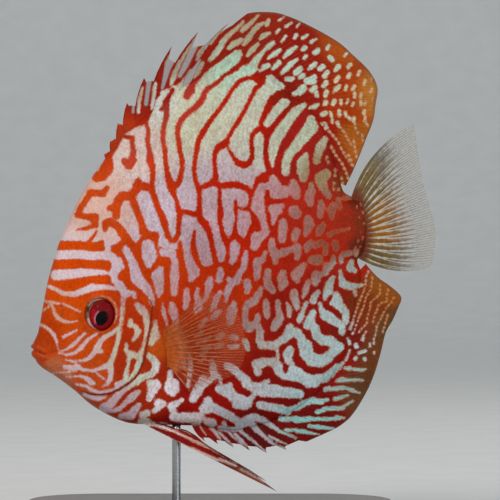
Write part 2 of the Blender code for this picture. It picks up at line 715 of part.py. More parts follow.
def rod_shape(name, radius, bottom, top, segments=20):
    """An upright round bar at the rod's place."""
    points = [(ROD_X + radius * math.cos(2 * math.pi * i / segments),
               radius * math.sin(2 * math.pi * i / segments), level)
              for level in (bottom, top) for i in range(segments)]
    faces = [tuple(range(segments)), tuple(range(segments, 2 * segments))]
    faces += [(i, (i + 1) % segments, segments + (i + 1) % segments, segments + i) for i in range(segments)]
    return mesh_object(name, points, faces)


def stand(wood, steel):
    """The base with a socket, and the rod that stands in it up to the belly."""
    base = stand_base(wood)
    foot = BASE_HEIGHT - ROD_SINK
    socket = rod_shape("rod_socket", ROD_RADIUS + JOINT_GAP, foot - JOINT_GAP, BASE_HEIGHT * 2)
    combine(base, [socket], "DIFFERENCE")
    dress(base, wood)
    belly_angle = math.degrees(math.atan2(-61.6, ROD_X - CENTRE_X))
    rod = rod_shape("stand_rod", ROD_RADIUS, foot, root_point(belly_angle)[1])
    dress(rod, steel)


def main():
    for thing in list(bpy.data.objects):
        bpy.data.objects.remove(thing)
    skin = finish_material("fish_skin", (0.75, 0.12, 0.02), 0.35)
    membrane = finish_material("fin_membrane", (0.70, 0.16, 0.03), 0.4)
    clear_fin = finish_material("clear_fin", (0.72, 0.55, 0.36), 0.4)
    eye_gloss = finish_material("eye", (0.35, 0.01, 0.01), 0.08)
    wood = finish_material("stand_wood", (0.10, 0.05, 0.03), 0.45)
    steel = finish_material("stand_steel", (0.6, 0.6, 0.62), 0.3, metallic=1.0)
    flesh_nodes(skin)
    for label, side in (("left", -1), ("right", 1)):
        dress(eye(f"eye_{label}", side), eye_gloss)
        dress(cover_plate(f"gill_cover_{label}", side, -COVER_THICKNESS, COVER_RISE, 0.0), skin)
        pectoral_fin(f"pectoral_fin_{label}", side, clear_fin)
        pelvic_fin(f"pelvic_fin_{label}", side, PELVIC_TIPS[label], membrane)
    unpaired_fin("dorsal_fin", DORSAL, DORSAL_SPINES, DORSAL_RAYS, DORSAL_NOTCH, DORSAL_BOW, ROOT_HALF,
                 membrane)
    unpaired_fin("anal_fin", ANAL, ANAL_SPINES, ANAL_RAYS, ANAL_NOTCH, ANAL_BOW, ROOT_HALF, membrane)
    unpaired_fin("caudal_fin", CAUDAL, 0, CAUDAL_RAYS, 1.0, CAUDAL_BOW, CAUDAL_ROOT_HALF, clear_fin)
    stand(wood, steel)


main()
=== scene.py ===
# A life-size discus fish on a display stand: the looks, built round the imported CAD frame.
# Lengths are in millimetres until a mesh is made. Photo pixels are in its 500 x 500 frame.
import math

import bpy
import numpy as np
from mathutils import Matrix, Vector
from mathutils.geometry import delaunay_2d_cdt


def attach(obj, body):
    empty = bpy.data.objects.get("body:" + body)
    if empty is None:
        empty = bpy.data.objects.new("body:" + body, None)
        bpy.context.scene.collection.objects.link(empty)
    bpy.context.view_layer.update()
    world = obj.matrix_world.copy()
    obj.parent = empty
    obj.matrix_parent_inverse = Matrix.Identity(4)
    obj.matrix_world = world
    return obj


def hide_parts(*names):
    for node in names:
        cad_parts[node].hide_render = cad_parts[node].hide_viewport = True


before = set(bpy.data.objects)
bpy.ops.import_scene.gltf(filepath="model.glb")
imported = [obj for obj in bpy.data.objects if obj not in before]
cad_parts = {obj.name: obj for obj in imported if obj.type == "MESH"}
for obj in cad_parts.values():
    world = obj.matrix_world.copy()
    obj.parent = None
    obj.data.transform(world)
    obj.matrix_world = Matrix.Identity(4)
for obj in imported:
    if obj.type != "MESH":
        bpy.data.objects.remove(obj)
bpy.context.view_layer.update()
scene = bpy.context.scene
mm = 0.001

# How the photo maps onto the fish's middle plane
view = {
    "pixel": 0.375,          # mm of the middle plane in one photo pixel
    "centre": (15.0, 105.75),  # X and Z of the photo's middle
    "distance": 1200.0,      # from the camera to the middle plane
    "frame": 250.0,          # the photo's middle in its own pixels
}


# ---- small helpers

def srgb(code):
    parts = [int(code[i:i + 2], 16) / 255 for i in (0, 2, 4)]
    return (*[c / 12.92 if c <= 0.04045 else ((c + 0.055) / 1.055) ** 2.4 for c in parts], 1.0)


def smoothStep(low, high, value):
    t = np.clip((value - low) / (high - low), 0.0, 1.0)
    return t * t * (3 - 2 * t)


def curveAt(rows, at):
    # A smooth curve through rows that start with a rising key: one array for each other column
    rows = np.asarray(rows, float)
    keys, last = rows[:, 0], len(rows) - 1
    low = np.clip(np.searchsorted(keys, at, side="right") - 1, 0, last - 1)
    high, before, after = low + 1, np.maximum(low - 1, 0), np.minimum(low + 2, last)
    step = keys[high] - keys[low]
    t = (at - keys[low]) / step
    found = []
    for column in rows.T[1:]:
        lead = (column[high] - column[before]) / (keys[high] - keys[before]) * step
        trail = (column[after] - column[low]) / (keys[after] - keys[low]) * step
        found.append(column[low] * (2 * t**3 - 3 * t**2 + 1) + lead * (t**3 - 2 * t**2 + t)
                     + column[high] * (3 * t**2 - 2 * t**3) + trail * (t**3 - t**2))
    return found


def around(rows, angle):
    # The same for a closed curve about the body's centre
    rows = np.asarray(rows, float)
    turned = np.concatenate([rows + np.eye(1, rows.shape[1]) * 360.0 * turn for turn in (-1, 0, 1)])
    return curveAt(turned, (np.asarray(angle, float) + 180.0) % 360.0 - 180.0)


def toPhoto(points):
    # Where the camera sees a point, taken on the near flank for both sides
    scale = view["distance"] / (view["distance"] - np.abs(points[:, 1])) / view["pixel"]
    px = view["frame"] + (points[:, 0] - view["centre"][0]) * scale
    py = view["frame"] - (points[:, 2] - view["centre"][1]) * scale
    return np.stack([px, py], 1)


def fromPhoto(px, py):
    return (view["centre"][0] + (px - view["frame"]) * view["pixel"],
            view["centre"][1] - (py - view["frame"]) * view["pixel"])


def lineDistance(spots, stroke):
    # Distance from spots to a line of points, less half its width, which may change along it
    widths, line = stroke[:2], np.reshape(stroke[2:], (-1, 2)).astype(float)
    lengths = np.hypot(*np.diff(line, axis=0).T)
    along = np.concatenate([[0.0], np.cumsum(lengths)]) / max(lengths.sum(), 1e-9)
    best = np.full(len(spots), 1e3)
    share = np.zeros(len(spots))
    for i in range(len(line) - 1):
        step = line[i + 1] - line[i]
        t = np.clip(((spots - line[i]) @ step) / max(step @ step, 1e-9), 0, 1)
        s = along[i] + (along[i + 1] - along[i]) * t
        away = np.hypot(*(spots - line[i] - t[:, None] * step).T)
        away = away - (widths[0] + (widths[1] - widths[0]) * s) / 2
        share = np.where(away < best, s, share)
        best = np.minimum(best, away)
    return best, share


def addNode(tree, kind, inputs=None, **settings):
    node = tree.nodes.new(kind)
    for key, value in settings.items():
        setattr(node, key, value)
    for key, value in (inputs or {}).items():
        if isinstance(value, bpy.types.NodeSocket):
            tree.links.new(value, node.inputs[key])
        else:
            node.inputs[key].default_value = value
    return node


# ---- the flesh, as the solid model has it

body = {
    "centre": (-4.0, 100.0),
    "halfWidth": 12.4,
    "fullness": 2.15,
    "calmTurns": (-24, -16, -8, 0, 8, 16, 24),
    "calmPower": 5,
    "outline": (
        (-66.6, 69.6), (-64.4, 75.2), (-62.6, 85.0), (-60.7, 94.5), (-58.4, 102.8), (-53.3, 116.2),
        (-49.5, 124.5), (-45.0, 132.0), (-40.0, 139.2), (-34.5, 145.9), (-28.5, 152.4), (-22.3, 158.0),
        (-15.0, 163.5), (-7.5, 168.7), (-1.0, 172.0), (5.6, 173.5), (12.7, 173.0), (19.6, 171.0),
        (26.2, 167.2), (33.2, 162.4), (39.0, 156.8), (43.2, 149.8), (45.8, 142.4), (48.0, 135.0),
        (50.0, 127.8), (53.3, 125.7), (56.8, 124.3), (58.5, 118.9), (59.2, 111.4), (58.0, 104.6),
        (55.3, 102.3), (56.5, 97.6), (56.0, 91.5), (54.6, 85.4), (53.3, 78.7), (52.0, 72.0), (49.9, 65.4),
        (44.3, 56.2), (38.2, 50.3), (31.8, 45.7), (24.6, 42.0), (17.0, 39.5), (8.6, 38.0), (2.2, 38.7),
        (-3.6, 39.8), (-13.0, 40.1), (-22.3, 40.3), (-30.8, 41.0), (-37.8, 43.7), (-45.2, 48.2),
        (-50.9, 53.2), (-57.6, 58.2), (-63.3, 61.9), (-66.0, 65.4),
    ),
    # angle, half thickness at the edge, roundness of the section
    "section": (
        (-155, 1.8, 0.50), (-130, 2.2, 0.50), (-105, 2.4, 0.56), (-88, 0.8, 0.72), (-50, 0.64, 0.88),
        (-12, 0.8, 1.02), (2, 1.7, 1.12), (18, 1.7, 1.10), (30, 0.8, 0.95), (60, 0.64, 0.90), (100, 0.64, 0.84),
        (128, 0.8, 0.62), (145, 1.5, 0.56), (175, 1.6, 0.50),
    ),
    "capDepth": 1.25,        # how far in the edge starts to round over, in half thicknesses
}


def edgeRows():
    away = np.array(body["outline"]) - body["centre"]
    rows = np.stack([np.degrees(np.arctan2(away[:, 1], away[:, 0])), np.hypot(*away.T)], 1)
    return rows[np.argsort(rows[:, 0])]


edge = edgeRows()


def polar(x, z):
    x, z = x - body["centre"][0], z - body["centre"][1]
    return np.degrees(np.arctan2(z, x)), np.hypot(x, z)


def edgePoint(angle, inset=0.0):
    radius = around(edge, angle)[0] - inset
    turn = np.radians(angle)
    return body["centre"][0] + radius * np.cos(turn), body["centre"][1] + radius * np.sin(turn)


def halfWidth(x, z, rounded=False):
    # Half thickness of the flesh: to the CAD's narrow rim, or rounded over to nothing at the edge
    angle, away = polar(x, z)
    radius = around(edge, angle)[0]
    share = np.minimum(away / radius, 1.0)
    calm = sum(around(edge, angle + turn)[0] for turn in body["calmTurns"]) / len(body["calmTurns"])
    soft = share + (np.minimum(away / calm, 1.0) - share) * (1 - share ** body["calmPower"])
    rim, roundness = around(body["section"], angle)
    half = rim + (body["halfWidth"] - rim) * np.maximum(1 - soft ** body["fullness"], 0) ** roundness
    if rounded:
        start = 1 - body["capDepth"] * rim / radius
        lean = np.clip((share - start) / (1 - start), 0, 1)
        half = half * np.sqrt(1 - lean**2)
    return half


def flankFrame(x, z, side):
    # A point on the flank, with the directions out of it, backwards and up along it
    def spot(px, pz):
        return np.array([px, side * float(halfWidth(np.array([px]), np.array([pz]))[0]), pz])
    here = spot(x, z)
    back, up = spot(x + 1, z) - here, spot(x, z + 1) - here
    out = np.cross(back, up)
    out = out / np.linalg.norm(out) * (1 if out[1] * side > 0 else -1)
    back = back / np.linalg.norm(back)
    up = np.cross(out, back)
    return here, out, back, up * (1 if up[2] > 0 else -1)


# ---- relief of the head, measured on the photo

eyeShape = {"x": -40.9, "z": 81.7, "length": 5.7, "height": 6.3, "depth": 4.1, "proud": 1.9}
# Lines of relief: start and end width, height, then photo points. A negative height is a groove.
creases = {
    "mouth slit": (2.2, 1.3, -1.0, (29, 349.2, 34.7, 350.1, 40, 352.6, 44, 354.6)),
    "mouth fold": (1.6, 1.2, -0.3, (44, 354.6, 48, 354.6, 53, 352.6, 57, 350.4)),
    "upper lip": (5.4, 3.0, 0.62, (29, 345.8, 34, 347.6, 39.5, 349.8, 43.5, 352.4)),
    "upper lip groove": (1.8, 1.2, -0.22, (30, 341.5, 36, 343.8, 42, 346.6, 46.5, 350.5)),
    "lower lip": (5.0, 3.0, 0.55, (31, 354.0, 36, 355.0, 40.5, 356.4, 44, 357.4)),
    "lower lip groove": (1.8, 1.2, -0.22, (34, 359.6, 39, 360.2, 44, 361.4, 49, 361.4)),
    "jaw edge": (2.0, 1.6, -0.16, (46, 368.5, 56, 369.0, 64, 369.5, 76, 371.0, 88, 376.0)),
    "upper jaw plate": (3.0, 2.0, 0.18, (50, 331, 55, 338, 57.5, 346, 57, 351)),
    "cheek front edge": (2.2, 2.0, -0.15, (123, 294, 122, 310, 121, 326, 117, 347, 112, 362, 109, 380)),
    "cheek ridge": (3.4, 3.0, 0.14, (126.5, 296, 125, 326, 121, 347, 116, 364, 112, 381)),
    "gill slit": (1.9, 1.9, -0.55, (153.8, 303, 154.6, 312, 153.2, 326, 149.6, 341, 146.4, 353, 143.2, 363,
                                     137.4, 375, 128.4, 384.4, 119, 390.4, 108.4, 395.4, 96, 396.6, 84, 393)),
    "shoulder edge": (5.0, 5.0, 0.12, (160, 300, 160, 326, 155, 350, 149, 368, 139, 384, 124, 394)),
}
# The gill cover's rear edge: what lies before it stands proud
coverEdge = (150, 300, 152.4, 306, 151.2, 318, 150, 327, 147.8, 340, 146, 350, 144, 360, 140, 370.6, 135, 378,
             128, 384, 120, 389, 111, 393, 100, 395, 90, 394.4, 83, 391)
coverFront = (100, 380, 112, 362, 121, 326, 123, 294)
nostril = {"x": 61.0, "y": 306.0, "radius": 2.2, "rim": 2.0, "depth": 0.9, "rise": 0.28}
scales = {"pitch": 1.8, "height": 0.035, "tilt": 20.0}


def insideOf(spots, line):
    # 1 inside a closed line of photo points, else 0
    corners = np.reshape(line, (-1, 2)).astype(float)
    crossed = np.zeros(len(spots), int)
    for a, b in zip(corners, np.roll(corners, -1, axis=0)):
        spans = (a[1] > spots[:, 1]) != (b[1] > spots[:, 1])
        at = a[0] + (b[0] - a[0]) * (spots[:, 1] - a[1]) / (b[1] - a[1] + 1e-9)
        crossed += spans & (spots[:, 0] < at)
    return crossed % 2


def relief(spots, x, z):
    # How far the skin rises from the smooth flank, in mm
    rise = np.zeros(len(spots))
    for wide, narrow, height, line in creases.values():
        away, share = lineDistance(spots, (0, 0, *line))
        width = wide + (narrow - wide) * share
        rise += height * np.exp(-(away / width * 1.5) ** 2)
    away, _ = lineDistance(spots, (0, 0, *coverEdge))
    rise += insideOf(spots, coverEdge + coverFront) * 0.42 * np.exp(-away / 9.0)
    # eye socket with its rim
    e = np.hypot((x - eyeShape["x"]) / (eyeShape["length"] + 0.1), (z - eyeShape["z"]) / (eyeShape["height"] + 0.1))
    rise -= 3.2 * (1 - smoothStep(0.86, 1.0, e))
    rise += 0.42 * np.exp(-((e - 1.09) / 0.075) ** 2)
    # nostril
    n = np.hypot(spots[:, 0] - nostril["x"], (spots[:, 1] - nostril["y"]) / 1.2)
    rise -= nostril["depth"] * (1 - smoothStep(nostril["radius"] * 0.45, nostril["radius"], n))
    rise += nostril["rise"] * np.exp(-((n - nostril["radius"] * 1.35) / nostril["rim"] * 1.8) ** 2)
    return rise


def scaleDomes(x, z):
    # Rows of overlapping scales that run along the body, each a little higher at its rear edge
    tilt = math.radians(scales["tilt"])
    along = (x * math.cos(tilt) + z * math.sin(tilt)) / scales["pitch"] + 0.5 * np.sin(x / 7.3 + z / 11.0)
    across = (-x * math.sin(tilt) + z * math.cos(tilt)) / (scales["pitch"] * 0.5) + 0.9 * np.sin(x / 9.1 - z / 6.7)
    row = np.floor(across)
    best = np.full(len(x), -1.0)
    for k in (-1, 0, 1, 2):
        line = row + k
        shift = 0.5 * (line % 2)
        away = along - shift - np.round(along - shift)
        off = (across - line) / 2
        best = np.maximum(best, 0.5 + away * 0.8 - 1.6 * (away**2 + off**2))
    return best


# ---- colour zones and markings, drawn over the photo

def beads(width, dash, pitch, *lines):
    # Short strokes set out evenly along lines of photo points
    strokes = []
    for line in lines:
        corners = np.reshape(line, (-1, 2)).astype(float)
        along = np.concatenate([[0.0], np.cumsum(np.hypot(*np.diff(corners, axis=0).T))])
        for at in np.arange(0.3 * pitch, along[-1], pitch):
            ends = [np.interp(at + shift, along, corners[:, k]) for shift in (-dash / 2, dash / 2) for k in (0, 1)]
            strokes.append((width, width, *ends))
    return strokes


# Ground colours of the fish's areas, as judged: middle in photo points, reach in pixels, colour
warmZones = {
    "lips": (38, 349, 12, "B4400F"), "snout": (48, 332, 14, "AC3404"), "chin": (55, 366, 7, "B66440"),
    "cheek": (78, 325, 26, "C64806"), "forehead": (75, 265, 28, "D04602"), "nape": (105, 205, 36, "C4440E"),
    "first spines": (118, 138, 16, "A43416"), "front spines": (150, 95, 22, "8C1C0E"),
    "middle spines": (200, 52, 26, "8A1A0A"), "dorsal crest": (262, 26, 20, "8A200A"), "dorsal middle": (296, 66, 32, "901808"),
    "dorsal base": (286, 92, 14, "7C1A06"), "dorsal rear": (348, 92, 18, "A03404"), "dorsal margin": (368, 92, 13, "B0742E"),
    "dorsal top margin": (340, 45, 16, "AA5010"), "dorsal rear margin": (360, 145, 13, "A85A14"), "dorsal rear base": (331, 160, 14, "86180A"),
    "dorsal corner": (346, 184, 10, "7A3414"), "shoulder": (155, 170, 40, "BA3004"), "back": (225, 130, 40, "AA1C04"),
    "upper rear": (285, 150, 30, "961408"), "middle": (240, 205, 45, "AE1E02"), "rear": (305, 225, 34, "A61F04"),
    "tail stalk": (346, 222, 16, "962404"), "tail root": (361, 222, 9, "6A2A0C"), "behind the eye": (145, 275, 34, "C23C04"),
    "gill cover": (135, 330, 20, "AE2E06"), "throat": (88, 388, 18, "BE4A16"), "breast": (150, 385, 26, "AA2C0A"),
    "pectoral root": (158, 345, 13, "C25412"), "flank": (205, 310, 40, "B22C04"), "belly": (205, 400, 34, "A61206"),
    "lower rear": (300, 330, 36, "8E1406"), "lower belly": (290, 392, 34, "860E08"), "anal base": (345, 330, 14, "70180C"),
    "anal rear": (366, 310, 14, "7C300E"), "anal margin": (386, 325, 11, "604020"), "anal lower margin": (360, 392, 14, "5E3A20"),
    "anal spines": (250, 440, 30, "580E0A"), "anal middle": (310, 412, 20, "5A0E0A"), "pelvic": (175, 435, 22, "780E10"),
    "pelvic tip": (250, 473, 14, "844428"), "pelvic thread": (272, 487, 10, "76565A"),
    "upper tail root": (357, 202, 8, "541E08"),
    "lower tail root": (358, 246, 8, "541E08"),
    "anal fin top": (384, 290, 10, "8C4C12"),
    "anal lower rear": (376, 354, 11, "683818"),
    "throat front edge": (68, 379, 6, "B46C50"),
    "throat rear edge": (84, 397, 6, "B0664C"),
}
paleZones = {
    "forehead": (76, 262, 28, "D8C4CA"), "snout": (60, 306, 16, "CCA08A"), "cheek": (80, 345, 24, "CEB0B2"),
    "chin": (75, 374, 12, "CEB6B6"), "cheek edge": (114, 350, 12, "C6C0AE"), "gill cover": (140, 335, 18, "C8BCA8"),
    "gill corner": (135, 375, 14, "C6CEBC"), "breast": (120, 402, 20, "CCB4BE"), "nape": (100, 208, 30, "D8B0A2"),
    "shoulder": (140, 155, 26, "D4C0BA"), "spine feet": (160, 104, 14, "CCD2CE"), "behind the nape": (165, 205, 28, "C8BAC8"),
    "over the gill": (140, 260, 28, "CAB4C0"), "back": (200, 125, 30, "C2C6AC"), "back middle": (245, 120, 34, "C0C4B2"),
    "upper flank": (215, 175, 28, "BEAEB8"), "upper rear": (300, 130, 26, "B4C0A8"), "rear corner": (322, 165, 15, "98805E"),
    "dorsal base": (228, 70, 18, "AED4BE"), "spine webs": (195, 55, 20, "9C9684"), "dorsal crest": (245, 32, 20, "A8A48A"),
    "dorsal middle": (300, 62, 30, "B4CEBE"), "dorsal rear": (340, 95, 20, "C2C2A4"), "dorsal margin": (365, 95, 12, "C0A478"),
    "dorsal dashes": (344, 148, 18, "B49A74"), "middle": (215, 215, 30, "BCA0AA"), "middle rear": (262, 215, 26, "BC9094"),
    "rear": (300, 215, 20, "A06A62"), "tail stalk": (332, 235, 18, "8E4834"), "lower middle": (220, 265, 34, "B2909A"),
    "lower rear": (285, 275, 28, "A4766F"), "under the tail": (316, 262, 12, "945A44"), "flank": (180, 300, 30, "C09496"),
    "pectoral": (205, 345, 22, "AA7468"), "flank rear": (262, 312, 24, "A48480"), "labyrinth front": (262, 358, 22, "B4B2AC"),
    "labyrinth": (320, 335, 34, "B4CACA"), "under the stalk": (345, 280, 16, "A4B4AE"), "belly": (240, 392, 30, "D4D8E0"),
    "belly front": (185, 392, 26, "F0ECF4"), "belly rear": (295, 385, 26, "C2D6DC"), "anal base": (305, 415, 22, "84C6C2"),
    "anal middle": (345, 390, 20, "8CACA6"), "anal rear": (370, 305, 17, "B88A58"), "anal spines": (240, 430, 26, "A8AEB8"),
    "pelvic root": (146, 422, 9, "D4CCC4"), "pelvic": (200, 445, 22, "C4A69C"),
    "first slits": (147, 96, 9, "A89A80"),
    "stalk flecks": (361, 222, 9, "B08E78"),
    "eye ring": (104, 299, 7, "CC8460"),
}

# Markings in photo points, drawn one by one. The upper front starts pale, inside this closed line, and the rest warm.
paleGround = (
    20, 246, 20, 140, 95, 158, 108, 163, 118, 148, 124, 135, 134, 128, 147, 124, 150, 118, 154, 108, 156, 100,
    163, 92, 168, 90, 172, 86, 178, 85, 184, 79, 190, 71, 194, 73, 189, 84, 184, 92, 183, 98, 188, 98, 192, 92,
    197, 84, 203, 75, 211, 68, 221, 61, 230, 54, 236, 50, 241, 50, 243, 56, 240, 63, 247, 65, 257, 63, 258, 70,
    250, 76, 246, 80, 253, 80, 257, 85, 260, 88, 266, 82, 266, 76, 272, 74, 276, 79, 282, 83, 285, 86, 283, 89,
    276, 91, 271, 96, 267, 106, 262, 117, 261, 130, 265, 140, 264, 156, 265, 166, 266, 172, 257, 179, 253, 186,
    250, 198, 249, 207, 253, 215, 256, 224, 252, 231, 248, 242, 242, 249, 239, 261, 231, 268, 226, 264, 216, 267,
    206, 268, 200, 265, 196, 258, 190, 250, 176, 249, 158, 249, 158, 232, 150, 236, 141, 236, 133, 247, 124, 242,
    113, 249, 103, 247, 55, 246,
)
